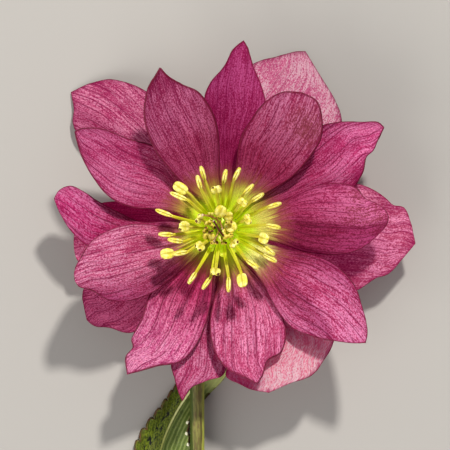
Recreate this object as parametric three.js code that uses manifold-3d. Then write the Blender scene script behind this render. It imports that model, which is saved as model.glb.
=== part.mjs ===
// A cut hellebore flower that lies on its back, face up: eighteen sepals in four storeys round a domed
// receptacle, stamens and nectaries in one fused node, the pistil, the stem and one toothed bract.
// Millimetres, +Z up. Shapes are laid out from the receptacle's axis, and the whole is moved at the end
// so that the origin is on the surface under the middle of the flower and its stem.
import * as THREE from "three";
import { mergeVertices } from "three/addons/utils/BufferGeometryUtils.js";
import Module from "manifold-3d";

const wasm = await Module();
wasm.setup();

// Driving dimensions.
const receptaclePlace = new THREE.Vector3(-2.83, 29.94, 0); // the flower's axis in the part's frame
const storeyHeights = [9.9, 11.0, 12.1, 13.2]; // where the sepals of each storey leave the receptacle
const receptacleRadius = 3.3;
const receptacleBottom = 9.3;
const receptacleTop = 15.4;
const sepalFootRadius = 3.75;
const sepalThickness = 0.6;
const sepalRows = 12;
const sepalColumns = 6;
const filamentLength = { shortest: 8.5, perReach: 0.35 }; // the further out an anther stands, the longer
const filamentRoot = { radius: 2.5, height: 14.6, sunk: 1.2 };
const filamentRadius = { root: 0.46, top: 0.28 };
const nectary = { count: 11, start: 2.4, reach: 4.9, reachChange: 0.5, low: 14.2, high: 16.4 };
const antherLength = 3.2;
const antherWidth = 2.2;
const antherThickness = 1.25;
const stemRadius = 1.45;
const stemEndY = -97.6;
const bractThickness = 0.6;
const bractNode = [-4.9, -72.5]; // where the bract leaves the stem
const restingZone = 0.05; // an underside lower than this lies flat on the surface
const seamTolerance = 0.01;

const degrees = Math.PI / 180;

// Small helpers.
const polar = (radius, bearing) => [radius * Math.cos(bearing * degrees), radius * Math.sin(bearing * degrees)];
const smooth = (from, to, x) => THREE.MathUtils.smoothstep(x, from, to);

// A smooth plan outline through hand-set points, read by a number from 0 at the first to 1 at the last.
function planCurve(points) {
  const curve = new THREE.CatmullRomCurve3(
    points.map(([x, y]) => new THREE.Vector3(x, y, 0)),
    false,
    "centripetal",
  );
  return (t) => curve.getPoint(t);
}

// A number that runs smoothly through hand-set values, evenly spaced from 0 to 1.
function planValue(values) {
  const curve = planCurve(values.map((value, i) => [i, value]));
  return (t) => curve(t).y;
}

function geometryFrom(vertices, triangles) {
  const geometry = new THREE.BufferGeometry();
  geometry.setAttribute("position", new THREE.Float32BufferAttribute(vertices.flatMap((v) => v.toArray()), 3));
  geometry.setIndex(triangles.flat());
  geometry.computeVertexNormals();
  return geometry;
}

// A blade of even thickness over a grid of mid-surface points. The last row is the tip, a single point.
// Both faces have the same triangles, and an underside that comes near the surface lies flat on it.
function bladeGeometry(rows, thickness) {
  const columns = rows[0].length;
  const flat = rows.flat();
  const index = (i, j) => (i === rows.length - 1 ? flat.length - 1 : i * columns + j);
  const faces = [];
  for (let i = 0; i < rows.length - 1; i++) {
    for (let j = 0; j < columns - 1; j++) {
      faces.push([index(i, j), index(i, j + 1), index(i + 1, j + 1)]);
      if (i < rows.length - 2) faces.push([index(i, j), index(i + 1, j + 1), index(i + 1, j)]);
    }
  }
  const sheet = geometryFrom(flat, faces);
  const normals = sheet.getAttribute("normal");
  const top = [];
  const bottom = [];
  flat.forEach((point, k) => {
    const half = new THREE.Vector3().fromBufferAttribute(normals, k).multiplyScalar(thickness / 2);
    if (half.z < 0) half.negate();
    const low = point.clone().sub(half);
    const high = point.clone().add(half);
    if (low.z < restingZone) low.z = 0;
    high.z = Math.max(high.z, low.z + thickness);
    bottom.push(low);
    top.push(high);
  });
  const rim = [];
  for (let j = 0; j < columns; j++) rim.push(index(0, j));
  for (let i = 1; i < rows.length - 1; i++) rim.push(index(i, columns - 1));
  rim.push(flat.length - 1);
  for (let i = rows.length - 2; i > 0; i--) rim.push(index(i, 0));
  const under = flat.length;
  const triangles = faces.map((face) => [...face]);
  faces.forEach(([a, b, c]) => triangles.push([under + a, under + c, under + b]));
  rim.forEach((a, k) => {
    const b = rim[(k + 1) % rim.length];
    triangles.push([b, a, under + a], [b, under + a, under + b]);
  });
  return facingOut(geometryFrom([...top, ...bottom], triangles));
}

// Turns a closed mesh's triangles round if they enclose a negative volume.
function facingOut(geometry) {
  const position = geometry.getAttribute("position");
  const index = geometry.getIndex().array;
  const [a, b, c] = [new THREE.Vector3(), new THREE.Vector3(), new THREE.Vector3()];
  let volume = 0;
  for (let k = 0; k < index.length; k += 3) {
    a.fromBufferAttribute(position, index[k]);
    b.fromBufferAttribute(position, index[k + 1]);
    c.fromBufferAttribute(position, index[k + 2]);
    volume += a.dot(b.cross(c));
  }
  if (volume < 0) {
    for (let k = 0; k < index.length; k += 3) [index[k], index[k + 1]] = [index[k + 1], index[k]];
  }
  return geometry;
}

// A closed tube along a curve, with a radius that changes along it. "sideways" is a direction that the
// curve never runs along, and it sets how the sides are turned.
function tubeGeometry(curve, radiusAt, steps, sides, sideways, turn = 0) {
  const vertices = [];
  const triangles = [];
  for (let i = 0; i <= steps; i++) {
    const t = i / steps;
    const centre = curve.getPoint(t);
    const along = curve.getTangent(t);
    const across = sideways.clone().addScaledVector(along, -sideways.dot(along)).normalize();
    const up = new THREE.Vector3().crossVectors(across, along);
    for (let k = 0; k < sides; k++) {
      const angle = ((k + turn) / sides) * 2 * Math.PI;
      const spoke = across.clone().multiplyScalar(Math.cos(angle)).addScaledVector(up, Math.sin(angle));
      vertices.push(centre.clone().addScaledVector(spoke, radiusAt(t)));
    }
  }
  for (let i = 0; i < steps; i++) {
    for (let k = 0; k < sides; k++) {
      const [a, b] = [i * sides + k, i * sides + ((k + 1) % sides)];
      triangles.push([a, b, b + sides], [a, b + sides, a + sides]);
    }
  }
  const last = steps * sides;
  for (let k = 1; k < sides - 1; k++) triangles.push([0, k + 1, k], [last, last + k, last + k + 1]);
  return facingOut(geometryFrom(vertices, triangles));
}

function solidFrom(geometry) {
  const bare = geometry.clone();
  bare.deleteAttribute("normal");
  if (bare.hasAttribute("uv")) bare.deleteAttribute("uv");
  const merged = mergeVertices(bare, 1e-4);
  return new wasm.Manifold(
    new wasm.Mesh({
      numProp: 3,
      vertProperties: new Float32Array(merged.getAttribute("position").array),
      triVerts: new Uint32Array(merged.getIndex().array),
    }),
  );
}

function fuse(geometries) {
  const solids = geometries.map(solidFrom);
  const whole = solids.slice(1).reduce((sum, next) => sum.add(next), solids[0]);
  const mesh = whole.asOriginal().simplify(seamTolerance).getMesh(); // no slivers along the joins
  const geometry = new THREE.BufferGeometry();
  geometry.setAttribute("position", new THREE.BufferAttribute(mesh.vertProperties, 3));
  geometry.setIndex(new THREE.BufferAttribute(mesh.triVerts, 1));
  geometry.computeVertexNormals();
  return geometry;
}

// Sepals. Each has its storey, the bearing of its foot round the receptacle and half the angle that the
// foot takes up, the slope it leaves at, the height of its tip, how far its edges stand above its middle
// (cup), how far its left edge stands above its right (lean), a wave along its edges, and its outline
// from foot to tip: left and right edge as seen from the receptacle, in millimetres from its axis.
const sepals = [
  {
    name: "sepal_top_left_front",
    storey: 3, bearing: 106, footHalfAngle: 22, rise: 0.08, tipHeight: 24.5, cup: 1.9, lean: 0.8, wave: 0.5,
    left: [[-3.4, 5.4], [-6.4, 7.9], [-10.7, 12.5], [-13.6, 16.6], [-15.3, 22.4], [-14.6, 27.7], [-13, 30.4]],
    right: [[0.1, 7], [-0.4, 11.6], [-0.5, 17.8], [-1.6, 22.8], [-4.6, 27.2], [-7.6, 28.6], [-10.5, 30.2]],
    tip: [-12.1, 31.9],
  },
  {
    name: "sepal_top_middle",
    storey: 1, bearing: 82, footHalfAngle: 20, rise: 0.02, tipHeight: 16.5, cup: 0.6, lean: 0.2, wave: 0.3,
    left: [[-1, 8], [-2.2, 14], [-3.6, 20], [-3.6, 25], [-2.4, 29], [0.6, 32.6], [2.3, 35.8]],
    right: [[2.6, 8], [4.6, 14], [7.2, 20], [8.8, 25], [8, 28.6], [6.4, 32.4], [5.2, 36.2]],
    tip: [4.4, 37.6],
  },
  {
    name: "sepal_top_right_front",
    storey: 2, bearing: 52, footHalfAngle: 20, rise: 0.06, tipHeight: 20.5, cup: 1.5, lean: 0.2, wave: 0.4,
    left: [[2, 7.5], [2.9, 12.5], [3.8, 18], [5.9, 21.8], [8.7, 25.3], [12, 27.2]],
    right: [[6.2, 5.6], [10.3, 8], [14.2, 10.6], [17.4, 14.2], [19.7, 18], [20, 21.6], [18.9, 25.4]],
    tip: [16, 27.1],
  },
  {
    name: "sepal_top_right_back",
    storey: 0, bearing: 62, footHalfAngle: 18, rise: 0.05, tipHeight: 0.3, cup: -0.6, lean: 0, wave: 0.3,
    left: [[1.2, 8], [1.6, 15], [2.2, 22], [3.4, 29], [6.5, 33.4], [11, 34.8], [15, 35.9]],
    right: [[6, 6], [12, 10.5], [18, 14.5], [22.5, 18.5], [24.2, 21.5], [23.1, 25.5], [19.4, 31.8]],
    tip: [16.9, 36],
  },
  {
    name: "sepal_right_upper",
    storey: 1, bearing: 30, footHalfAngle: 20, rise: 0.03, tipHeight: 15.2, cup: 0.4, lean: -0.2, wave: 0.4,
    left: [[5.5, 6.5], [9, 11], [13.5, 16], [18.5, 20.2], [23, 21.4], [28, 21.5], [31.2, 21.4]],
    right: [[8, 2.6], [14, 4], [20, 5.5], [25.4, 7.4], [28.2, 11.3], [28.9, 14.4], [30.2, 15.6], [31.2, 17.8]],
    tip: [32.4, 20.4],
  },
  {
    name: "sepal_right_front",
    storey: 2, bearing: 4, footHalfAngle: 20, rise: 0.06, tipHeight: 20, cup: -0.5, lean: 0.4, wave: 0.4,
    left: [
      [7, 3.3], [12, 5.5], [16, 7.8], [20.2, 9], [24.6, 9.1], [27, 8.1], [28.4, 6.4], [30.6, 5.3], [32.3, 4.2],
    ],
    right: [
      [6.5, -1.6], [9.5, -2.1], [12.8, -3.1], [17.4, -4.6], [24.3, -4.9], [28, -3.7], [31.1, -1.1], [32.7, 0.7],
    ],
    tip: [33.2, 2.5],
  },
  {
    name: "sepal_right_back",
    storey: 0, bearing: -8, footHalfAngle: 18, rise: 0.03, tipHeight: 8.5, cup: -0.6, lean: 0, wave: 0.3,
    left: [[8, 2.2], [14, 4.6], [20.5, 7.8], [26.8, 9.2], [31.7, 7.2], [34.6, 4.9], [36.6, 4.4], [38, 1.2]],
    right: [[7.5, -4.2], [14, -8.6], [21, -12.2], [27.2, -12.2], [30.5, -10], [33.6, -8.8], [36.2, -6]],
    tip: [38.9, -2.8],
  },
  {
    name: "sepal_lower_right_front",
    storey: 3, bearing: -40, footHalfAngle: 22, rise: 0.08, tipHeight: 23.5, cup: -0.5, lean: -0.2, wave: 0.5,
    left: [
      [6.3, -2], [9.5, -2.9], [13.5, -4], [18.6, -5.1], [23.1, -7.4], [26.3, -10.9], [28, -15.5], [28.9, -20.2],
    ],
    right: [[4.6, -5.6], [8.1, -10.7], [11.9, -17.2], [14.5, -19.8], [19.1, -21.5], [22.5, -22.1], [26, -22.5]],
    tip: [28.5, -22.4],
  },
  {
    name: "sepal_bottom_front",
    storey: 2, bearing: -80, footHalfAngle: 19, rise: 0.06, tipHeight: 20, cup: 0.8, lean: -1.1, wave: 0.3,
    left: [[3.9, -6], [7.9, -10.3], [11.5, -15.6], [12.8, -20.4], [11.9, -24.3], [9.2, -26], [8.2, -28.9]],
    right: [[-0.4, -6.5], [-0.5, -10.1], [-1.7, -14.8], [-2.3, -19], [-1.2, -24.6], [1.4, -27.8], [4.2, -29.1]],
    tip: [7.1, -30.6],
  },
  {
    name: "sepal_bottom_right_back",
    storey: 0, bearing: -62, footHalfAngle: 18, rise: 0.02, tipHeight: 16, cup: -0.8, lean: 0, wave: 0.3,
    left: [[6.5, -6], [13, -11.5], [19.5, -17], [22.5, -21.6], [20.6, -25.8], [18, -29], [13.6, -30.7]],
    right: [[1, -8], [1.5, -14], [2, -20], [2, -25], [0.9, -29.3], [3.6, -30.8], [6, -31.9]],
    tip: [9.4, -32.5],
  },
  {
    name: "sepal_lower_left_front",
    storey: 2, bearing: -125, footHalfAngle: 19, rise: 0.06, tipHeight: 20, cup: 1.0, lean: 0.7, wave: 0.3,
    left: [
      [-1.5, -6.5], [-1.7, -10.4], [-2, -14], [-3.2, -19], [-5.6, -23.8], [-8.3, -26.3], [-12.4, -27],
      [-16, -28],
    ],
    right: [[-6, -5], [-11, -9.5], [-14.3, -13], [-15.9, -17.8], [-17.9, -21.8], [-17.6, -23.3], [-19, -25.2]],
    tip: [-18.7, -28.7],
  },
  {
    name: "sepal_bottom_left_back",
    storey: 1, bearing: -105, footHalfAngle: 20, rise: 0.04, tipHeight: 18, cup: -0.8, lean: 0, wave: 0.2,
    left: [[0.3, -8], [0.6, -14], [1.3, -20], [1.5, -25], [0.2, -29.1], [-2.6, -30], [-5.9, -31.3]],
    right: [[-3.5, -7], [-6, -13], [-8.5, -19], [-10, -25], [-10, -27.4], [-9.3, -29.8], [-8.6, -32.4]],
    tip: [-7.8, -34.1],
  },
  {
    name: "sepal_left_front",
    storey: 3, bearing: 196, footHalfAngle: 22, rise: 0.06, tipHeight: 22.5, cup: -0.4, lean: 0.3, wave: 0.5,
    left: [
      [-4.4, -4.6], [-7.9, -7.9], [-12.8, -12], [-18.5, -14.2], [-22.4, -14], [-25.6, -12.1], [-28.3, -11.2],
    ],
    right: [[-6.5, 0.3], [-10.3, 0.4], [-16.9, 1.1], [-22, 0], [-25.7, -2.2], [-27.6, -5], [-29, -7.8]],
    tip: [-29.1, -9.6],
  },
  {
    name: "sepal_lower_left_back",
    storey: 0, bearing: 213, footHalfAngle: 14, rise: 0.02, tipHeight: 8, cup: -0.6, lean: 0, wave: 0.3,
    left: [[-5, -6], [-9, -11], [-12.5, -15.5], [-15, -19], [-18.4, -20.7], [-22.5, -19.7], [-25.4, -19.4]],
    right: [[-7.5, -2.6], [-13, -4.4], [-19, -6], [-24.5, -8.4], [-27.4, -11.4], [-27.9, -13.4], [-27.5, -16]],
    tip: [-27, -18.2],
  },
  {
    name: "sepal_left_upper",
    storey: 1, bearing: 167, footHalfAngle: 20, rise: 0.02, tipHeight: 14.6, cup: -1.0, lean: 0, wave: 0.2,
    left: [[-8, -0.8], [-15, -2], [-22, -3.4], [-26.7, -3.2], [-28.8, -1.7], [-30.5, 0.3], [-32.4, 3.7]],
    right: [
      [-6.5, 2.1], [-11, 1.6], [-16.2, 1.5], [-21.3, 3.7], [-25, 5.8], [-28, 7.8], [-30.4, 8.7], [-32.4, 7.8],
    ],
    tip: [-33.4, 6.2],
  },
  {
    name: "sepal_left_back",
    storey: 0, bearing: 177, footHalfAngle: 14, rise: 0.01, tipHeight: 9, cup: -0.4, lean: 0, wave: 0.2,
    left: [[-8, -1.6], [-14, -3], [-20, -5], [-25, -6.6], [-28.4, -6.8], [-29.3, -5.2]],
    right: [[-7.5, 2.8], [-12, 4.6], [-17, 5.6], [-21.3, 5.6], [-24.4, 5.2], [-27.5, 3.4], [-29, 1]],
    tip: [-29.6, -2],
  },
  {
    name: "sepal_upper_left_front",
    storey: 2, bearing: 150, footHalfAngle: 20, rise: 0.05, tipHeight: 19.5, cup: 0.9, lean: 0.7, wave: 0.4,
    left: [[-7, 2.6], [-10.5, 3.7], [-14, 4.1], [-17.8, 4.4], [-22, 6.3], [-25.3, 10], [-27.7, 14.5]],
    right: [[-4.6, 5.8], [-7.5, 10], [-10.5, 14.8], [-13.8, 16.8], [-18.5, 18.1], [-23.6, 20], [-27.7, 20.1]],
    tip: [-29.1, 19.4],
  },
  {
    name: "sepal_top_left_back",
    storey: 0, bearing: 138, footHalfAngle: 16, rise: 0.05, tipHeight: 0.3, cup: -1.0, lean: 0, wave: 0.3,
    left: [[-8, 4.5], [-14, 9], [-20, 13.5], [-26, 17.2], [-29.2, 19.6], [-30, 21.6], [-29.8, 24.3]],
    right: [[-3.5, 7], [-5.5, 12.5], [-8, 18.5], [-11, 24], [-14.9, 27.6], [-21.7, 30.2], [-26.4, 29.5]],
    tip: [-30.4, 27.7],
  },
];

function sepalGeometry(sepal) {
  const foot = storeyHeights[sepal.storey];
  const edge = (points, side) =>
    planCurve([polar(sepalFootRadius, sepal.bearing + side * sepal.footHalfAngle), ...points, sepal.tip]);
  const left = edge(sepal.left, 1);
  const right = edge(sepal.right, -1);
  const span = Math.hypot(...sepal.tip) - sepalFootRadius;
  const bend = (sepal.tipHeight - foot - sepal.rise * span) / span ** 2;
  const heightAt = (point, t, side) => {
    const out = Math.max(0, Math.hypot(point.x, point.y) - sepalFootRadius);
    const bowl = foot + sepal.rise * out + bend * out ** 2;
    const free = Math.sin(Math.PI * t ** 0.8); // held flat at the foot and at the tip
    const ripple = sepal.wave * side ** 2 * Math.sin(5 * Math.PI * t + sepal.bearing);
    return bowl + free * (sepal.cup * (side ** 2 - 0.35) - sepal.lean * side + ripple);
  };
  const rows = [];
  for (let i = 0; i < sepalRows; i++) {
    const t = i / sepalRows;
    const row = [];
    for (let j = 0; j <= sepalColumns; j++) {
      const side = (2 * j) / sepalColumns - 1;
      const point = left(t).lerp(right(t), (side + 1) / 2);
      point.z = heightAt(point, t, side);
      row.push(point);
    }
    rows.push(row);
  }
  rows.push([new THREE.Vector3(...sepal.tip, sepal.tipHeight)]);
  return bladeGeometry(rows, sepalThickness);
}

// Receptacle, stamens and nectaries, one fused body.
function receptacleGeometry() {
  const profile = [
    [0, receptacleBottom],
    [receptacleRadius, receptacleBottom],
    [receptacleRadius, receptacleTop - 1.4],
    [receptacleRadius - 0.4, receptacleTop - 0.5],
    [1.8, receptacleTop],
    [0, receptacleTop],
  ];
  const lathe = new THREE.LatheGeometry(profile.map(([r, z]) => new THREE.Vector2(r, z)), 18);
  return facingOut(lathe.rotateX(90 * degrees));
}

// An anther: two rounded lobes side by side along an axis, with a groove between them on each face.
function antherGeometry(base, tip, across, size) {
  const section = [[1, 0], [0.62, 1], [0, 0.55], [-0.62, 1], [-1, 0], [-0.62, -1], [0, -0.55], [0.62, -1]];
  const along = tip.clone().sub(base);
  const wide = across.clone().addScaledVector(along, -across.dot(along) / along.lengthSq()).normalize();
  const thick = new THREE.Vector3().crossVectors(along, wide).normalize();
  const vertices = [base];
  const rings = [[0.2, 0.85], [0.78, 0.9]];
  rings.forEach(([t, swell]) => {
    section.forEach(([x, y]) => {
      const point = base.clone().addScaledVector(along, t);
      point.addScaledVector(wide, (x * swell * size * antherWidth) / 2);
      vertices.push(point.addScaledVector(thick, (y * swell * size * antherThickness) / 2));
    });
  });
  vertices.push(tip);
  const count = section.length;
  const triangles = [];
  for (let k = 0; k < count; k++) {
    const next = (k + 1) % count;
    triangles.push([0, 1 + next, 1 + k]);
    for (let ring = 0; ring < rings.length - 1; ring++) {
      const [a, b] = [1 + ring * count + k, 1 + ring * count + next];
      triangles.push([a, b, b + count], [a, b + count, a + count]);
    }
    const last = 1 + (rings.length - 1) * count;
    triangles.push([last + k, last + next, vertices.length - 1]);
  }
  return facingOut(geometryFrom(vertices, triangles));
}

// The ripe stamens: where each anther's base and tip stand in plan, and whether it shows its edge or its
// broad face upwards. Where base and tip are nearly above each other, the anther stands on end.
const edgeUp = "edge";
const broadUp = "broad";
const ripeStamens = [
  [-3.3, 9.8, -4.1, 12.5, edgeUp],
  [-4.1, 8.2, -4.8, 10.6, edgeUp],
  [-0.9, 7.3, -1.1, 8.5, edgeUp],
  [0.4, 9.2, 0.9, 11.8, edgeUp],
  [2.5, 9.9, 3.6, 12.1, edgeUp],
  [4.3, 6.9, 6.3, 8.9, edgeUp],
  [3.8, 5, 4.5, 5.9, broadUp],
  [6, 5.6, 8.3, 7.1, edgeUp],
  [9.1, 4.4, 11.8, 5.2, edgeUp],
  [4.8, 1.9, 5.6, 2.2, broadUp],
  [8.8, 0.9, 11.7, 0.3, edgeUp],
  [7.4, -1.4, 9.3, -2, broadUp],
  [8.3, -3.3, 10.5, -5, edgeUp],
  [8.2, -4.9, 11, -6.4, edgeUp],
  [5, -6.1, 7.3, -7.6, edgeUp],
  [3.9, -8.6, 4.3, -11.4, broadUp],
  [1.4, -9.5, 1.4, -12.3, edgeUp],
  [-1.1, -7.7, -1.3, -8.9, edgeUp],
  [-2.2, -9.5, -3.7, -11.7, edgeUp],
  [-5.2, -8.7, -6.4, -10.5, edgeUp],
  [-9.3, -4.6, -12.1, -4.9, broadUp],
  [-6.7, -4.4, -9.5, -4.9, edgeUp],
  [-7.7, -2.4, -10.6, -1.9, edgeUp],
  [-9.5, -1, -12.5, -0.9, edgeUp],
  [-6.3, 0.5, -8.4, 0.7, broadUp],
  [-9.5, 2.6, -13.2, 4, edgeUp],
  [-6.6, 5.8, -10.3, 7.4, edgeUp],
  [-6.7, 7.3, -9.5, 9.1, broadUp],
  [-4, 2, -4.8, 2.3, edgeUp],
  [-3.7, -2.9, -4.8, -3.7, broadUp],
  [2.3, -2.5, 2.8, -3, broadUp],
];
// The young stamens, still bunched round the pistil: bearing, distance from the axis, height and size.
const youngStamens = [
  [93, 3.4, 20.6, 0.95], [123, 3.6, 19.6, 0.75], [62, 2.9, 20, 0.7], [17, 2.5, 20.8, 0.9],
  [-45, 2.2, 19.8, 0.7], [148, 2.9, 20, 0.75], [193, 2.8, 19.6, 0.75], [241, 3, 20, 0.75],
];

function stamenGeometries(baseX, baseY, tipX, tipY, face) {
  const bearing = Math.atan2(baseY, baseX) / degrees;
  const [rootX, rootY] = polar(filamentRoot.radius, bearing);
  const reach = Math.hypot(baseX, baseY) - filamentRoot.radius;
  const length = filamentLength.shortest + filamentLength.perReach * reach;
  const height = filamentRoot.height + Math.sqrt(length ** 2 - reach ** 2);
  const planLength = Math.hypot(tipX - baseX, tipY - baseY);
  const climb = Math.sqrt(Math.max(0, antherLength ** 2 - planLength ** 2));
  const root = new THREE.Vector3(rootX, rootY, filamentRoot.height - filamentRoot.sunk);
  const base = new THREE.Vector3(baseX, baseY, height);
  const tip = new THREE.Vector3(tipX, tipY, height + climb * 0.85);
  return filamentAndAnther(root, base, tip, face, 1);
}

function filamentAndAnther(root, base, tip, face, size) {
  const outward = new THREE.Vector3(base.x, base.y, 0).normalize();
  const sideways = new THREE.Vector3(-outward.y, outward.x, 0);
  const sunkEnd = base.clone().lerp(tip, 0.3);
  const elbow = root.clone().lerp(base, 0.55);
  elbow.z += 0.12 * (base.z - root.z);
  const curve = new THREE.CatmullRomCurve3([root, elbow, base, sunkEnd], false, "centripetal");
  const radiusAt = (t) => filamentRadius.root + (filamentRadius.top - filamentRadius.root) * smooth(0, 0.7, t);
  const across = face === edgeUp ? new THREE.Vector3(0, 0, 1) : sideways;
  const anther = tip.clone().sub(base);
  const upright = Math.abs(anther.z) > 0.75 * anther.length();
  return [
    tubeGeometry(curve, radiusAt, 3, 4, sideways, 0.37),
    antherGeometry(base, tip, upright ? sideways : across, size),
  ];
}

function youngStamenGeometries(bearing, distance, height, size) {
  const [x, y] = polar(distance, bearing);
  const [rootX, rootY] = polar(2.1, bearing);
  const root = new THREE.Vector3(rootX, rootY, receptacleTop - 1);
  const base = new THREE.Vector3(x * 0.9, y * 0.9, height - 1.6);
  const tip = new THREE.Vector3(x, y, height);
  return filamentAndAnther(root, base, tip, broadUp, size);
}

// The nectaries: short green funnels in a ring under the stamens.
function nectaryGeometries() {
  return Array.from({ length: nectary.count }, (_, k) => {
    const bearing = (k * 360) / nectary.count + 12;
    const [x, y] = polar(1, bearing);
    const reach = nectary.reach + nectary.reachChange * Math.sin(k * 2.4);
    const start = new THREE.Vector3(nectary.start * x, nectary.start * y, nectary.low);
    const end = new THREE.Vector3(reach * x, reach * y, nectary.high);
    const curve = new THREE.LineCurve3(start, end);
    return tubeGeometry(curve, (t) => 0.35 + 0.3 * t, 2, 5, new THREE.Vector3(-y, x, 0));
  });
}

// The pistil: four carpels on a small base, each drawn out into a curved style. Each has its path from the
// base up to the tip.
const carpelPaths = [
  [[-0.4, 0.3, 16], [-0.5, 0.4, 18.2], [-0.6, 1.1, 21], [-1, 2.1, 23.1], [-2.3, 2.65, 25.2], [-3.8, 2.9, 27]],
  [[0.3, -0.4, 16], [0.5, -0.6, 18.4], [0.4, -1.2, 21], [0.1, -0.9, 23.2], [-0.8, 0.5, 24.4], [-1.6, 1.8, 25]],
  [[-0.1, 0.6, 16], [-0.1, 0.8, 18.4], [-0.4, 1.4, 20.8], [-0.3, 1.7, 22.6], [-0.1, 1, 24], [0.2, 0.1, 24.4]],
  [[-0.4, -0.4, 16], [-0.6, -0.5, 18.4], [-0.5, -0.2, 21], [-0.6, -0.5, 22.6], [-1, -1.3, 23.6], [-1.5, -2.3, 24]],
];
const carpelBase = { topRadius: 1.15, bottomRadius: 1.3, height: 0.9 };
const styleRadius = 0.3;
const ovaryRadius = 0.6;

function pistilGeometry() {
  const { topRadius, bottomRadius, height } = carpelBase;
  const base = new THREE.CylinderGeometry(topRadius, bottomRadius, height, 10).rotateX(90 * degrees);
  base.translate(0, 0, receptacleTop + 0.3 + height / 2);
  const radiusAt = (t) => ovaryRadius + (styleRadius - ovaryRadius) * smooth(0.3, 0.5, t);
  const carpels = carpelPaths.map((path) => {
    const points = path.map((point) => new THREE.Vector3(...point));
    const curve = new THREE.CatmullRomCurve3(points, false, "centripetal");
    return tubeGeometry(curve, radiusAt, 12, 6, new THREE.Vector3(0.8, 0.6, 0));
  });
  return fuse([base, ...carpels]);
}

// The stem: it flares under the receptacle, bends back as a nodding flower's does, and lies along the
// surface over the bract, down to the plain cut end. Its sides are turned so that one faces down.
function stemGeometry() {
  const sides = 10;
  const restHeight = stemRadius * Math.cos(Math.PI / sides);
  const path = new THREE.CatmullRomCurve3(
    [
      [0, 0, receptacleBottom - 0.3],
      [0, -0.1, 7.6],
      [-0.2, -1.6, 4.6],
      [-0.9, -5.6, 3.1],
      [-3, -14, 2.9],
      [-4.4, -22, 3.1],
      [-4.85, -30, 3.3],
      [-4.9, -44, 3.1],
      [-4.9, -58, 3],
      [-4.9, -72, 2.9],
      [-4.9, -84, 1.9],
      [-4.9, -92, restHeight],
      [-4.9, stemEndY, restHeight],
    ].map(([x, y, z]) => new THREE.Vector3(x, y, z)),
    false,
    "centripetal",
  );
  const radiusAt = (t) => {
    const point = path.getPoint(t);
    const flare = 1.75 * (1 - smooth(0, 0.09, t));
    const swelling = 0.4 * Math.exp(-(((point.y - bractNode[1]) / 2.2) ** 2));
    return stemRadius + flare + swelling;
  };
  const stem = tubeGeometry(path, radiusAt, 40, sides, new THREE.Vector3(1, 0, 0));
  const position = stem.getAttribute("position");
  for (let k = 0; k < position.count; k++) position.setZ(k, Math.max(0, position.getZ(k)));
  return stem;
}

// The bract: a leaf cut into lobes that leave the stem's node together, each with forward-pointing teeth.
const bractLobes = [
  {
    midrib: [
      bractNode, [-8.5, -66], [-11.9, -58], [-12.9, -50.5], [-12.1, -43.9], [-9.3, -37.3], [-5.8, -32],
      [-2.5, -27.6], [0.6, -23],
    ],
    left: [1.5, 2.6, 5.6, 6.1, 5.2, 3.4, 3.2, 3, 0],
    right: [1.5, 2.1, 4.8, 7.2, 6.2, 3.1, 3.5, 4, 0],
    teeth: 26,
    edgeLift: 1.2,
  },
  {
    midrib: [bractNode, [-0.9, -69], [4.2, -63.4], [8.8, -57.4], [12.2, -51]],
    left: [1.3, 2.4, 3.8, 3.2, 0],
    right: [1.3, 2.6, 4, 3.3, 0],
    teeth: 9,
    edgeLift: 1.1,
  },
  {
    midrib: [bractNode, [-10.4, -72.6], [-17.6, -70.6], [-24.4, -67], [-29.4, -62.4]],
    left: [1.2, 2.4, 3.6, 3, 0],
    right: [1.2, 2.2, 3.4, 3, 0],
    teeth: 9,
    edgeLift: 1.1,
  },
];

function lobeGeometry(lobe) {
  const midrib = planCurve(lobe.midrib);
  const widths = { left: planValue(lobe.left), right: planValue(lobe.right) };
  const rowCount = lobe.teeth * 2;
  const columns = [-1, -0.5, 0, 0.5, 1];
  const rows = [];
  for (let i = 0; i < rowCount; i++) {
    const t = i / rowCount;
    const centre = midrib(t);
    const along = midrib(Math.min(1, t + 0.01)).sub(midrib(Math.max(0, t - 0.01))).normalize();
    const rightward = new THREE.Vector3(along.y, -along.x, 0);
    const notch = i % 2 === 0;
    rows.push(
      columns.map((side) => {
        const atEdge = Math.abs(side) === 1;
        const width = side < 0 ? widths.left(t) : widths.right(t);
        const reach = side * width * (atEdge && notch && i > 2 ? 0.86 : 1);
        const point = centre.clone().addScaledVector(rightward, reach);
        if (atEdge && !notch) point.addScaledVector(along, 0.7);
        const free = smooth(0.06, 0.4, t) * (1 - smooth(0.62, 0.78, t));
        const lift = lobe.edgeLift * free * Math.max(0, Math.abs(side) - 0.5) * 2;
        point.z = bractThickness / 2 + lift;
        return point;
      }),
    );
  }
  const end = midrib(1);
  rows.push([new THREE.Vector3(end.x, end.y, bractThickness / 2 + 0.2)]);
  return bladeGeometry(rows, bractThickness);
}

// Materials.
const materials = {
  sepal: new THREE.MeshStandardMaterial({ color: 0xb04a78, roughness: 0.55, metalness: 0 }),
  paleSepal: new THREE.MeshStandardMaterial({ color: 0xcc7fa2, roughness: 0.55, metalness: 0 }),
  stamen: new THREE.MeshStandardMaterial({ color: 0xe2dd6a, roughness: 0.6, metalness: 0 }),
  pistil: new THREE.MeshStandardMaterial({ color: 0x9a6a4a, roughness: 0.6, metalness: 0 }),
  stem: new THREE.MeshStandardMaterial({ color: 0x7d9440, roughness: 0.5, metalness: 0 }),
  bract: new THREE.MeshStandardMaterial({ color: 0x4f6a2a, roughness: 0.5, metalness: 0 }),
};

const group = new THREE.Group();
group.position.copy(receptaclePlace);

function addNode(name, geometry, material) {
  const mesh = new THREE.Mesh(geometry, material);
  mesh.name = name;
  group.add(mesh);
}

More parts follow.
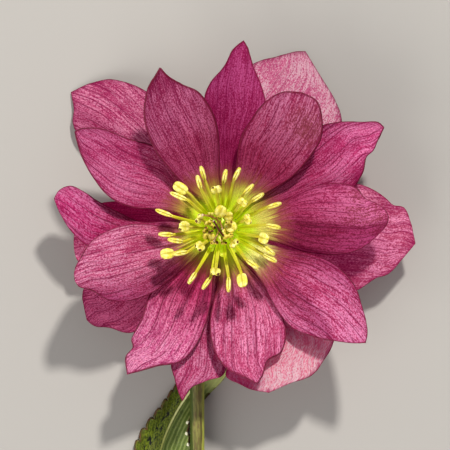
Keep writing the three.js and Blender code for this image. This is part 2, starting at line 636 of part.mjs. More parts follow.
sepals.forEach((sepal) => {
  addNode(sepal.name, sepalGeometry(sepal), sepal.storey === 0 ? materials.paleSepal : materials.sepal);
});
addNode(
  "stamens",
  fuse([
    receptacleGeometry(),
    ...ripeStamens.flatMap((stamen) => stamenGeometries(...stamen)),
    ...youngStamens.flatMap((stamen) => youngStamenGeometries(...stamen)),
    ...nectaryGeometries(),
  ]),
  materials.stamen,
);
addNode("pistil", pistilGeometry(), materials.pistil);
addNode("stem", stemGeometry(), materials.stem);
addNode("bract", fuse(bractLobes.map(lobeGeometry)), materials.bract);

export default group;
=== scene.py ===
import math

import bmesh
import bpy
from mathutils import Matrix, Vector, noise


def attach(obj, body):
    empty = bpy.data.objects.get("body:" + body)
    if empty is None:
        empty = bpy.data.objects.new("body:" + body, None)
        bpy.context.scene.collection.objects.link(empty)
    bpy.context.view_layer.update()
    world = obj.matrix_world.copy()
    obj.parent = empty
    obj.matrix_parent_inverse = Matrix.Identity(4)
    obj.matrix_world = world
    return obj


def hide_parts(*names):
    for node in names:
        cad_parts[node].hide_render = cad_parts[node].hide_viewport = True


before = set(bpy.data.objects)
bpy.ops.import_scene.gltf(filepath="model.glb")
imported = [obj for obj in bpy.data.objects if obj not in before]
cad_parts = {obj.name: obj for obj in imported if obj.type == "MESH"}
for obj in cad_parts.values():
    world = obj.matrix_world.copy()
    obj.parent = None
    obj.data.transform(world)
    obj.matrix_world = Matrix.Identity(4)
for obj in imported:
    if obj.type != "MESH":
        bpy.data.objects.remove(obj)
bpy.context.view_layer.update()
scene = bpy.context.scene
mm = 0.001
flowerAxis = Vector((-2.83, 29.94, 0)) * mm  # the middle of the receptacle, on the floor
storeyHeights = [9.9 * mm, 11.0 * mm, 12.1 * mm, 13.2 * mm]  # where each storey of sepals starts
receptacleTop = 15.4 * mm
print("frame loaded:", len(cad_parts), "solids")


# Small helpers.

def srgb(red, green, blue):
    # a screen colour, 0 to 255, as the linear colour that shaders read
    def linear(value):
        value /= 255
        return value / 12.92 if value <= 0.04045 else ((value + 0.055) / 1.055) ** 2.4
    return (linear(red), linear(green), linear(blue), 1.0)


def smoothStep(low, high, value):
    share = min(1.0, max(0.0, (value - low) / (high - low)))
    return share * share * (3 - 2 * share)


def bump(value, width):
    return math.exp(-((value / width) ** 2))


def wobble(x, y, seed=0.0):
    # smooth noise from -1 to 1, always the same for the same place and seed
    return noise.noise(Vector((x, y, seed)))


def polar(radius, bearing):
    return Vector((math.cos(math.radians(bearing)), math.sin(math.radians(bearing)), 0)) * radius


def inScene(place):
    # a place in millimetres from the flower's axis and above the floor, as a place in the scene
    return flowerAxis + Vector(place) * mm


def curvePoint(points, t):
    # centripetal Catmull-Rom: t runs from 0 at the first point to 1 at the last
    last = len(points) - 1
    place = min(1.0, max(0.0, t)) * last
    i = min(int(place), last - 1)
    share = place - i
    start, end = points[i], points[i + 1]
    before = points[i - 1] if i > 0 else 2 * start - end
    after = points[i + 2] if i + 2 <= last else 2 * end - start
    gaps = [math.sqrt((b - a).length) for a, b in ((before, start), (start, end), (end, after))]
    middle = gaps[1] or 1.0
    first, third = gaps[0] or middle, gaps[2] or middle
    leave = ((start - before) / first - (end - before) / (first + middle) + (end - start) / middle) * middle
    arrive = ((end - start) / middle - (after - start) / (middle + third) + (after - end) / third) * middle
    return (
        start + leave * share
        + (3 * (end - start) - 2 * leave - arrive) * share ** 2
        + (2 * (start - end) + leave + arrive) * share ** 3
    )


def curveValue(values, t):
    return curvePoint([Vector((i, value, 0)) for i, value in enumerate(values)], t).y


def addPatch(bm, alongSteps, acrossSteps, pointAt, uvAt=None, marks=None):
    # a grid that runs from 0 to 1 both ways, each vertex moved to pointAt(along, across); marks are
    # vertex attributes, {name: function of (along, across)}
    uvLayer = bm.loops.layers.uv.get("blade") or bm.loops.layers.uv.new("blade")
    vertexLayers = bm.verts.layers.float
    layers = {name: vertexLayers.get(name) or vertexLayers.new(name) for name in marks or ()}
    made = bmesh.ops.create_grid(bm, x_segments=alongSteps, y_segments=acrossSteps, size=0.5)["verts"]
    places = {v: (round(v.co.x + 0.5, 6), round(v.co.y + 0.5, 6)) for v in made}
    for face in {face for v in made for face in v.link_faces}:
        face.smooth = True
        for loop in face.loops:
            loop[uvLayer].uv = uvAt(*places[loop.vert]) if uvAt else places[loop.vert]
    for name, layer in layers.items():
        for v, (along, across) in places.items():
            v[layer] = marks[name](along, across)
    for v, (along, across) in places.items():
        v.co = pointAt(along, across)


def addTube(bm, points, radiusAt, steps, sides, sideways, squeeze=1.0, marks=None):
    # a tube through the points, closed at both ends; sideways is never along it
    sideways = Vector(sideways)

    def pointAt(along, around):
        t = min(1.0, max(0.0, (along * steps - 1) / (steps - 2)))  # the first and last rings close it
        centre = curvePoint(points, t)
        course = (curvePoint(points, t + 0.01) - curvePoint(points, t - 0.01)).normalized()
        across = (sideways - sideways.dot(course) * course).normalized()
        up = across.cross(course)
        radius = 0.0 if along in (0.0, 1.0) else radiusAt(t)
        angle = 2 * math.pi * around
        return centre + radius * (across * math.cos(angle) + up * math.sin(angle) * squeeze)

    addPatch(bm, steps, sides, pointAt, None, marks)


def makePiece(name, bm, material, nodeName, closed=True):
    # turns the mesh into an object that stands in for a solid; a single sheet is closed later on, when
    # it is thickened
    bmesh.ops.remove_doubles(bm, verts=bm.verts, dist=0.0005 * mm)
    if closed:
        bmesh.ops.recalc_face_normals(bm, faces=bm.faces)
    mesh = bpy.data.meshes.new(name)
    bm.to_mesh(mesh)
    bm.free()
    mesh.materials.append(material)
    piece = bpy.data.objects.new(name, mesh)
    scene.collection.objects.link(piece)
    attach(piece, "root")
    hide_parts(nodeName)
    return piece


def thicken(piece, thickness, even=True):
    shell = piece.modifiers.new("thickness", "SOLIDIFY")
    shell.thickness = thickness
    shell.offset = 0.0
    shell.use_even_offset = even


# Shader helpers. A Signal is a socket that can be added to, taken from and multiplied. Each helper adds
# a node beside the signal that it is given, and gives back a new one.

class Signal:
    def __init__(self, tree, socket):
        self.tree = tree
        self.socket = socket

    def __add__(self, other):
        return calc("ADD", self, other)

    def __sub__(self, other):
        return calc("SUBTRACT", self, other)

    def __mul__(self, other):
        return calc("MULTIPLY", self, other)


def setInput(tree, socket, value):
    if isinstance(value, Signal):
        tree.links.new(value.socket, socket)
    else:
        socket.default_value = value


def addNode(tree, kind, inputs=None, output=0, **settings):
    node = tree.nodes.new("ShaderNode" + kind)
    for name, value in settings.items():
        setattr(node, name, value)
    for socket, value in (inputs or {}).items():
        setInput(tree, node.inputs[socket], value)
    return Signal(tree, node.outputs[output])


def readMark(tree, name):
    return addNode(tree, "Attribute", output="Fac", attribute_name=name)


def readPlace(tree):
    return addNode(tree, "TexCoord", output="Object")


def readBlade(tree):
    return addNode(tree, "UVMap", uv_map="blade")


def axisOf(vector, name):
    return addNode(vector.tree, "SeparateXYZ", {0: vector}, name)


def calc(operation, first, second=0.0):
    return addNode(first.tree, "Math", {0: first, 1: second}, operation=operation)


def blend(share, first, second, how="MIX"):
    inputs = {0: share, 6: first, 7: second}
    return addNode(share.tree, "Mix", inputs, 2, data_type="RGBA", blend_type=how)


def coat(colour, *coats):
    # each coat is the share that it covers and its own colour
    for share, tone in coats:
        colour = blend(share, colour, tone)
    return colour


def fade(value, low, high, toLow=0.0, toHigh=1.0):
    # goes smoothly from toLow to toHigh while the value goes from low to high
    inputs = {"Value": value, "From Min": low, "From Max": high, "To Min": toLow, "To Max": toHigh}
    return addNode(value.tree, "MapRange", inputs, interpolation_type="SMOOTHSTEP")


def stretched(place, stretch):
    return addNode(place.tree, "VectorMath", {0: place, 1: stretch}, operation="MULTIPLY")


def cloud(place, stretch, detail=2.0, roughness=0.5):
    inputs = {"Vector": stretched(place, stretch), "Scale": 1.0, "Detail": detail, "Roughness": roughness}
    return addNode(place.tree, "TexNoise", inputs, "Fac")


def newGroup(name, inputs, outputs):
    # a node group, the signals that come into it, and the sockets that its results go to
    group = bpy.data.node_groups.new(name, "ShaderNodeTree")
    for way, sockets in (("INPUT", inputs), ("OUTPUT", outputs)):
        for socket, kind in sockets.items():
            group.interface.new_socket(name=socket, in_out=way, socket_type="NodeSocket" + kind)
    given = group.nodes.new("NodeGroupInput").outputs
    results = group.nodes.new("NodeGroupOutput").inputs
    return group, {socket: Signal(group, given[socket]) for socket in inputs}, results


def newMaterial(name):
    material = bpy.data.materials.new(name)
    material.use_nodes = True
    return material, material.node_tree


def finishMaterial(material, inputs, height=None, relief=0.1 * mm):
    # sets or wires inputs of the Principled shader, and turns a height from 0 to 1 into a fine relief
    tree = material.node_tree
    shader = tree.nodes["Principled BSDF"]
    for name, value in inputs.items():
        setInput(tree, shader.inputs[name], value)
    if height is not None:
        bumped = addNode(tree, "Bump", {"Height": height, "Distance": relief, "Strength": 1.0})
        setInput(tree, shader.inputs["Normal"], bumped)
    return material


# Camera: high above the flower that lies face up, looking straight down.
cameraSettings = {
    "centre": flowerAxis + Vector((0.7, 0.9, 0)) * mm,
    "height": 1.0,
    "seenWidth": 90 * mm,  # what the picture's side takes in, at seenHeight above the floor
    "seenHeight": 12 * mm,
}


def addCamera():
    distance = cameraSettings["height"] - cameraSettings["seenHeight"]
    data = bpy.data.cameras.new("camera")
    data.angle = 2 * math.atan(cameraSettings["seenWidth"] / 2 / distance)
    data.clip_start = 0.01
    camera = bpy.data.objects.new("camera", data)
    camera.location = cameraSettings["centre"] + Vector((0, 0, cameraSettings["height"]))
    scene.collection.objects.link(camera)
    scene.camera = camera


# Light: a small key lamp from above and beyond the flower, a broad weak one from the other side that
# opens up its shadows, pale light from all round, and a plain pale floor. Sizes are in metres.
lightSettings = {
    "lampDistance": 1.0,
    "lampColour": (1.0, 0.97, 0.93),
    "towardsKey": Vector((1.8, 5.0, 7.0)),
    "keySize": 0.085,
    "keyPower": 7.8,
    "towardsFill": Vector((-5.0, -5.5, 4.0)),
    "fillSize": 1.1,
    "fillPower": 8.5,
    "around": srgb(214, 216, 222),
    "aroundStrength": 0.47,
    "floor": srgb(172, 169, 164),
    "floorSize": 1.5,
}


def addLamp(name, towards, size, power):
    data = bpy.data.lights.new(name, "AREA")
    data.shape = "DISK"
    data.size = size
    data.energy = power
    data.color = lightSettings["lampColour"]
    lamp = bpy.data.objects.new(name, data)
    lamp.location = flowerAxis + towards.normalized() * lightSettings["lampDistance"]
    lamp.rotation_euler = towards.to_track_quat("Z", "Y").to_euler()
    scene.collection.objects.link(lamp)


def addLights():
    settings = lightSettings
    addLamp("keyLight", settings["towardsKey"], settings["keySize"], settings["keyPower"])
    addLamp("fillLight", settings["towardsFill"], settings["fillSize"], settings["fillPower"])
    world = bpy.data.worlds.new("studio")
    world.use_nodes = True
    background = world.node_tree.nodes["Background"]
    background.inputs["Color"].default_value = settings["around"]
    background.inputs["Strength"].default_value = settings["aroundStrength"]
    scene.world = world
    scene.view_settings.view_transform = "Standard"
    scene.view_settings.look = "Medium High Contrast"


def addFloor():
    bm = bmesh.new()
    bmesh.ops.create_grid(bm, x_segments=1, y_segments=1, size=lightSettings["floorSize"])
    mesh = bpy.data.meshes.new("floor")
    bm.to_mesh(mesh)
    bm.free()
    material = newMaterial("floorPaint")[0]
    mesh.materials.append(finishMaterial(material, {"Base Color": lightSettings["floor"], "Roughness": 0.9}))
    floor = bpy.data.objects.new("floor", mesh)
    scene.collection.objects.link(floor)


# Sepals. Each has its storey, the bearing of its foot and half the angle that the foot takes up, the
# slope that it leaves at, the height of its tip, and its outline from foot to tip, in millimetres from
# the flower's axis. rose and pale are the two colours of its skin, set for each sepal; besides its own
# tone they carry painted light and shade for how it faces the lamp and lies under other sepals. The rest
# is in sepalDefaults, and a sepal names only what differs from that.
sepalShape = {
    "footRadius": 3.75,
    "thickness": 0.38 * mm,
    "rows": 76,
    "columns": 50,
    "pleat": 0.16,  # height of the soft folds between the veins, in millimetres
    "raggedEdge": 0.014,  # share of the blade's half width
    "bladeScale": 40.0,  # millimetres that one unit of the blade's UV map stands for
}

skinColours = ("rose", "pale", "deep", "rim", "cream", "lime")
skinAmounts = (
    "veins", "edge", "footReach", "footLight", "footShade", "shade", "shadeStart", "shadeReach", "sideShade",
)

sepalDefaults = {
    "cup": -0.6,  # how far its edges stand above its middle
    "lean": 0,  # how far its left edge stands above its right
    "wave": 0.3,  # along its edges
    "creases": (),  # each a line in plan from one point to another, its depth and its width; the blade is pressed down along it and darkened there with painted shade
    "deep": (112, 4, 62),  # veins and flecks
    "rim": (92, 20, 36),
    "cream": (206, 206, 112),  # the foot
    "lime": (200, 218, 50),  # the very bottom of the foot
    "veins": 1.0,  # strength of the veins and flecks
    "edge": 0.2,  # how much of the deep colour runs along the edges
    "footReach": 4.8,  # length of the pale foot in millimetres, as the next reaches are
    "footLight": 1.0,  # painted glow that the foot gives off, standing in for light that comes through it
    "footShade": 0.3,  # how much of the shade is left on the foot
    "shade": 0.72,  # painted shade on the inner part of the blade
    "shadeStart": 4.0,
    "shadeReach": 19.0,
    "sideShade": 0.0,  # painted shade on a side turned from the lamp: above 0 darkens the right side, below 0 the left
    "glow": 0.015,  # painted glow: red light that the blade gives off, standing in for light that comes through it and lifting its shade
    "stain": (0, 0, 0.1),  # a brownish patch: x, y and radius
}

sepals = [
    {
        "name": "sepal_top_left_front", "storey": 3, "bearing": 106, "footHalfAngle": 22,
        "rise": 0.08, "tipHeight": 24.5, "cup": 1.9, "lean": 0.8, "wave": 0.5,
        "left": [(-3.4, 5.4), (-6.4, 7.9), (-10.7, 12.5), (-13.6, 16.6), (-15.3, 22.4), (-14.6, 27.7),
                 (-13, 30.4)],
        "right": [(0.1, 7), (-0.4, 11.6), (-0.5, 17.8), (-1.6, 22.8), (-4.6, 27.2), (-7.6, 28.6),
                  (-10.5, 30.2)],
        "tip": (-12.1, 31.9),
        "rose": (138, 40, 80), "pale": (190, 115, 148), "cream": (176, 156, 70), "footReach": 6.2,
        "shadeStart": 6.0, "shadeReach": 25.0, "sideShade": 0.4,
        "creases": [((-4.5, 12), (-11.5, 26), 0.25, 0.6), ((-2.5, 12), (-5, 22), 0.2, 0.7)],
    },
    {
        "name": "sepal_top_middle", "storey": 1, "bearing": 82, "footHalfAngle": 20,
        "rise": 0.02, "tipHeight": 16.5, "cup": 0.6, "lean": 0.2,
        "left": [(-1, 8), (-2.2, 14), (-3.6, 20), (-3.6, 25), (-2.4, 29), (0.6, 32.6), (2.3, 35.8)],
        "right": [(2.6, 8), (4.6, 14), (7.2, 20), (8.8, 25), (8, 28.6), (6.4, 32.4), (5.2, 36.2)],
        "tip": (4.4, 37.6),
        "rose": (122, 10, 64), "pale": (168, 80, 126), "cream": (164, 150, 54), "footReach": 6.4,
        "shade": 0.62, "shadeStart": 8.0, "shadeReach": 27.0, "glow": 0.055,
    },
    {
        "name": "sepal_top_right_front", "storey": 2, "bearing": 52, "footHalfAngle": 20,
        "rise": 0.06, "tipHeight": 20.5, "cup": 1.5, "lean": 0.2, "wave": 0.4,
        "left": [(2, 7.5), (2.9, 12.5), (3.8, 18), (5.9, 21.8), (8.7, 25.3), (12, 27.2)],
        "right": [(6.2, 5.6), (10.3, 8), (14.2, 10.6), (17.4, 14.2), (19.7, 18), (20, 21.6), (18.9, 25.4)],
        "tip": (16, 27.1),
        "rose": (154, 48, 88), "pale": (190, 119, 150), "cream": (206, 206, 92), "footReach": 6.6,
        "shade": 0.95, "shadeStart": 6.5, "shadeReach": 27.0, "stain": (17.0, 20.5, 6.5),
    },
    {
        "name": "sepal_top_right_back", "storey": 0, "bearing": 62, "footHalfAngle": 18,
        "rise": 0.05, "tipHeight": 0.3,
        "left": [(1.2, 8), (1.6, 15), (2.2, 22), (3.4, 29), (6.5, 33.4), (11, 34.8), (15, 35.9)],
        "right": [(6, 6), (12, 10.5), (18, 14.5), (22.5, 18.5), (24.2, 21.5), (23.1, 25.5), (19.4, 31.8)],
        "tip": (16.9, 36),
        "rose": (181, 84, 124), "pale": (199, 161, 172), "veins": 0.4, "edge": 0.55,
    },
    {
        "name": "sepal_right_upper", "storey": 1, "bearing": 30, "footHalfAngle": 20,
        "rise": 0.03, "tipHeight": 15.2, "cup": 0.4, "lean": -0.2, "wave": 0.4,
        "left": [(5.5, 6.5), (9, 11), (13.5, 16), (18.5, 20.2), (23, 21.4), (28, 21.5), (31.2, 21.4)],
        "right": [(8, 2.6), (14, 4), (20, 5.5), (25.4, 7.4), (28.2, 11.3), (28.9, 14.4), (30.2, 15.6),
                  (31.2, 17.8)],
        "tip": (32.4, 20.4),
        "rose": (180, 52, 108), "pale": (212, 126, 167), "cream": (200, 188, 86), "edge": 0.3,
        "footReach": 6.8, "footShade": 0.2, "shade": 0.62, "shadeStart": 9.0, "shadeReach": 31.0,
        "sideShade": -0.5,
        "creases": [((14, 9), (28, 17.5), 0.25, 1.0)],
    },
    {
        "name": "sepal_right_front", "storey": 2, "bearing": 4, "footHalfAngle": 20,
        "rise": 0.06, "tipHeight": 20, "cup": -0.5, "lean": 0.4, "wave": 0.4,
        "left": [(7, 3.3), (12, 5.5), (16, 7.8), (20.2, 9), (24.6, 9.1), (27, 8.1), (28.4, 6.4),
                 (30.6, 5.3), (32.3, 4.2)],
        "right": [(6.5, -1.6), (9.5, -2.1), (12.8, -3.1), (17.4, -4.6), (24.3, -4.9), (28, -3.7),
                  (31.1, -1.1), (32.7, 0.7)],
        "tip": (33.2, 2.5),
        "rose": (155, 50, 92), "pale": (198, 113, 152), "cream": (222, 214, 112), "footReach": 7.6,
        "footShade": 0.15, "shadeStart": 8.0, "shadeReach": 27.0, "sideShade": 3.5, "glow": 0.03,
        "stain": (28.6, 4.0, 7.5),
        "creases": [((13, 1), (30, 1.6), 0.2, 1.6)],
    },
    {
        "name": "sepal_right_back", "storey": 0, "bearing": -8, "footHalfAngle": 18,
        "rise": 0.03, "tipHeight": 8.5,
        "left": [(8, 2.2), (14, 4.6), (20.5, 7.8), (26.8, 9.2), (31.7, 7.2), (34.6, 4.9), (36.6, 4.4),
                 (38, 1.2)],
        "right": [(7.5, -4.2), (14, -8.6), (21, -12.2), (27.2, -12.2), (30.5, -10), (33.6, -8.8),
                  (36.2, -6)],
        "tip": (38.9, -2.8),
        "rose": (160, 76, 100), "pale": (212, 143, 172), "edge": 0.5, "shadeReach": 26.0, "glow": 0.09,
        "creases": [((22, -6), (34, -3), 0.2, 1.2)],
    },
    {
        "name": "sepal_lower_right_front", "storey": 3, "bearing": -40, "footHalfAngle": 22,
        "rise": 0.08, "tipHeight": 23.5, "cup": -0.5, "lean": -0.2, "wave": 0.5,
        "left": [(6.3, -2), (9.5, -2.9), (13.5, -4), (18.6, -5.1), (23.1, -7.4), (26.3, -10.9),
                 (28, -15.5), (28.9, -20.2)],
        "right": [(4.6, -5.6), (8.1, -10.7), (11.9, -17.2), (14.5, -19.8), (19.1, -21.5), (22.5, -22.1),
                  (26, -22.5)],
        "tip": (28.5, -22.4),
        "rose": (176, 62, 106), "pale": (212, 135, 172), "cream": (240, 236, 146), "edge": 0.25,
        "footReach": 7.8, "shade": 0.8, "shadeStart": 7.0, "shadeReach": 23.0, "sideShade": -0.6,
        "creases": [((14, -10.5), (22, -22), 0.4, 0.7), ((10, -8.5), (20.5, -20.5), 0.6, 2.1)],
    },
    {
        "name": "sepal_bottom_front", "storey": 2, "bearing": -80, "footHalfAngle": 19,
        "rise": 0.06, "tipHeight": 20, "cup": 0.8, "lean": -1.1,
        "left": [(3.9, -6), (7.9, -10.3), (11.5, -15.6), (12.8, -20.4), (11.9, -24.3), (9.2, -26),
                 (8.2, -28.9)],
        "right": [(-0.4, -6.5), (-0.5, -10.1), (-1.7, -14.8), (-2.3, -19), (-1.2, -24.6), (1.4, -27.8),
                  (4.2, -29.1)],
        "tip": (7.1, -30.6),
        "rose": (186, 74, 116), "pale": (214, 135, 170), "cream": (176, 160, 62), "lime": (146, 146, 26),
        "footReach": 6.0, "footLight": 0.4, "shade": 0.64,
        "creases": [((5.4, -15), (7.4, -28.5), 0.25, 0.5), ((1, -14), (0.8, -23), 0.15, 0.5)],
    },
    {
        "name": "sepal_bottom_right_back", "storey": 0, "bearing": -62, "footHalfAngle": 18,
        "rise": 0.02, "tipHeight": 16, "cup": -0.8,
        "left": [(6.5, -6), (13, -11.5), (19.5, -17), (22.5, -21.6), (20.6, -25.8), (18, -29),
                 (13.6, -30.7)],
        "right": [(1, -8), (1.5, -14), (2, -20), (2, -25), (0.9, -29.3), (3.6, -30.8), (6, -31.9)],
        "tip": (9.4, -32.5),
        # sideShade paints the bottom front sepal's shadow on its right side, the crease that of the lower
        # right front sepal
        "rose": (196, 118, 136), "pale": (194, 171, 176), "veins": 0.35, "edge": 0.6, "sideShade": 0.9,
        "glow": 0.07,
        "creases": [((11, -17.5), (22, -23.8), 0.35, 2.0)],
    },
    {
        "name": "sepal_lower_left_front", "storey": 2, "bearing": -125, "footHalfAngle": 19,
        "rise": 0.06, "tipHeight": 20, "cup": 1.0, "lean": 0.7,
        "left": [(-1.5, -6.5), (-1.7, -10.4), (-2, -14), (-3.2, -19), (-5.6, -23.8), (-8.3, -26.3),
                 (-12.4, -27), (-16, -28)],
        "right": [(-6, -5), (-11, -9.5), (-14.3, -13), (-15.9, -17.8), (-17.9, -21.8), (-17.6, -23.3),
                  (-19, -25.2)],
        "tip": (-18.7, -28.7),
        "rose": (191, 86, 135), "pale": (222, 147, 180), "cream": (136, 112, 50), "lime": (112, 106, 18),
        "footLight": 0.25, "footShade": 1.0, "shade": 0.95, "shadeStart": 6.0, "shadeReach": 25.0,
    },
    {
        "name": "sepal_bottom_left_back", "storey": 1, "bearing": -105, "footHalfAngle": 20,
        "rise": 0.04, "tipHeight": 18, "cup": -0.8, "wave": 0.2,
        "left": [(0.3, -8), (0.6, -14), (1.3, -20), (1.5, -25), (0.2, -29.1), (-2.6, -30), (-5.9, -31.3)],
        "right": [(-3.5, -7), (-6, -13), (-8.5, -19), (-10, -25), (-10, -27.4), (-9.3, -29.8),
                  (-8.6, -32.4)],
        "tip": (-7.8, -34.1),
        "rose": (168, 56, 100), "pale": (194, 123, 154), "lime": (96, 86, 20), "edge": 0.4,
        "footLight": 0.1,
    },
    {
        "name": "sepal_left_front", "storey": 3, "bearing": 196, "footHalfAngle": 22,
        "rise": 0.06, "tipHeight": 22.5, "cup": -0.4, "lean": 0.3, "wave": 0.5,
        "left": [(-4.4, -4.6), (-7.9, -7.9), (-12.8, -12), (-18.5, -14.2), (-22.4, -14), (-25.6, -12.1),
                 (-28.3, -11.2)],
        "right": [(-6.5, 0.3), (-10.3, 0.4), (-16.9, 1.1), (-22, 0), (-25.7, -2.2), (-27.6, -5),
                  (-29, -7.8)],
        "tip": (-29.1, -9.6),
        "rose": (182, 78, 118), "pale": (214, 145, 174), "cream": (200, 190, 96), "footReach": 5.2,
        "footLight": 0.6, "footShade": 0.1, "shade": 0.6, "shadeStart": 3.0, "sideShade": -0.9,
        "glow": 0.02,
        "creases": [((-14, -4), (-26, -8), 0.15, 0.8)],
    },
    {
        "name": "sepal_lower_left_back", "storey": 0, "bearing": 213, "footHalfAngle": 14,
        "rise": 0.02, "tipHeight": 8,
        "left": [(-5, -6), (-9, -11), (-12.5, -15.5), (-15, -19), (-18.4, -20.7), (-22.5, -19.7),
                 (-25.4, -19.4)],
        "right": [(-7.5, -2.6), (-13, -4.4), (-19, -6), (-24.5, -8.4), (-27.4, -11.4), (-27.9, -13.4),
                  (-27.5, -16)],
        "tip": (-27, -18.2),
        # its darker colours also paint the shade of the left front sepal, which lies over it
        "rose": (154, 46, 86), "pale": (194, 99, 138), "edge": 0.5, "footReach": 4.2, "shade": 0.85,
        "shadeReach": 24.0,
    },
    {
        "name": "sepal_left_upper", "storey": 1, "bearing": 167, "footHalfAngle": 20,
        "rise": 0.02, "tipHeight": 14.6, "cup": -1.0, "wave": 0.2,
        "left": [(-8, -0.8), (-15, -2), (-22, -3.4), (-26.7, -3.2), (-28.8, -1.7), (-30.5, 0.3),
                 (-32.4, 3.7)],
        "right": [(-6.5, 2.1), (-11, 1.6), (-16.2, 1.5), (-21.3, 3.7), (-25, 5.8), (-28, 7.8),
                  (-30.4, 8.7), (-32.4, 7.8)],
        "tip": (-33.4, 6.2),
        "rose": (176, 40, 104), "pale": (200, 117, 158), "footReach": 4.0, "shadeStart": 9.0,
        "shadeReach": 28.0, "sideShade": -0.6,
    },
    {
        "name": "sepal_left_back", "storey": 0, "bearing": 177, "footHalfAngle": 14,
        "rise": 0.01, "tipHeight": 9, "cup": -0.4, "wave": 0.2,
        "left": [(-8, -1.6), (-14, -3), (-20, -5), (-25, -6.6), (-28.4, -6.8), (-29.3, -5.2)],
        "right": [(-7.5, 2.8), (-12, 4.6), (-17, 5.6), (-21.3, 5.6), (-24.4, 5.2), (-27.5, 3.4), (-29, 1)],
        "tip": (-29.6, -2),
        "rose": (186, 76, 114), "pale": (214, 137, 168), "footReach": 4.0, "shade": 0.92,
        "shadeStart": 18.0, "shadeReach": 25.0, "glow": 0.07,
    },
    {
        "name": "sepal_upper_left_front", "storey": 2, "bearing": 150, "footHalfAngle": 20,
        "rise": 0.05, "tipHeight": 19.5, "cup": 0.9, "lean": 0.7, "wave": 0.4,
        "left": [(-7, 2.6), (-10.5, 3.7), (-14, 4.1), (-17.8, 4.4), (-22, 6.3), (-25.3, 10), (-27.7, 14.5)],
        "right": [(-4.6, 5.8), (-7.5, 10), (-10.5, 14.8), (-13.8, 16.8), (-18.5, 18.1), (-23.6, 20),
                  (-27.7, 20.1)],
        "tip": (-29.1, 19.4),
        "rose": (166, 54, 100), "pale": (198, 117, 154), "cream": (200, 184, 84), "footReach": 6.6,
        "sideShade": 0.3,
    },
    {
        "name": "sepal_top_left_back", "storey": 0, "bearing": 138, "footHalfAngle": 16,
        "rise": 0.05, "tipHeight": 0.3, "cup": -1.0,
        "left": [(-8, 4.5), (-14, 9), (-20, 13.5), (-26, 17.2), (-29.2, 19.6), (-30, 21.6), (-29.8, 24.3)],
        "right": [(-3.5, 7), (-5.5, 12.5), (-8, 18.5), (-11, 24), (-14.9, 27.6), (-21.7, 30.2),
                  (-26.4, 29.5)],
        "tip": (-30.4, 27.7),
        "rose": (165, 64, 104), "pale": (202, 131, 158), "edge": 0.5, "sideShade": -0.3, "glow": 0.025,
        "creases": [((-16, 14.5), (-30, 24.5), 0.4, 1.9)],
    },
]


def sepalRows(sepal):
    # the outline's two edges, row by row, and how wide the veins have spread there
    def edgePoints(name, footAngle):
        foot = polar(sepalShape["footRadius"], sepal["bearing"] + footAngle)
        return [foot] + [Vector((x, y, 0)) for x, y in (*sepal[name], sepal["tip"])]

    left = edgePoints("left", sepal["footHalfAngle"])
    right = edgePoints("right", -sepal["footHalfAngle"])
    rows = []
    widest = 0.0
    for i in range(sepalShape["rows"] + 1):
        t = i / sepalShape["rows"]
        leftEdge = curvePoint(left, t)
        rightEdge = curvePoint(right, t)
        half = (leftEdge - rightEdge).length / 2
        widest = max(widest, half)
        rows.append({"left": leftEdge, "right": rightEdge, "half": half, "spread": widest})
    return rows


def creaseDepth(sepal, x, y):
    depth = 0.0
    for start, end, deep, width in sepal["creases"]:
        start = Vector(start)
        course = Vector(end) - start
        fromStart = Vector((x, y)) - start
        share = fromStart.dot(course) / course.length_squared
        off = (fromStart - course * share).length
        depth += deep * bump(off, width) * smoothStep(-0.1, 0.3, share) * (1 - smoothStep(0.85, 1.2, share))
    return depth


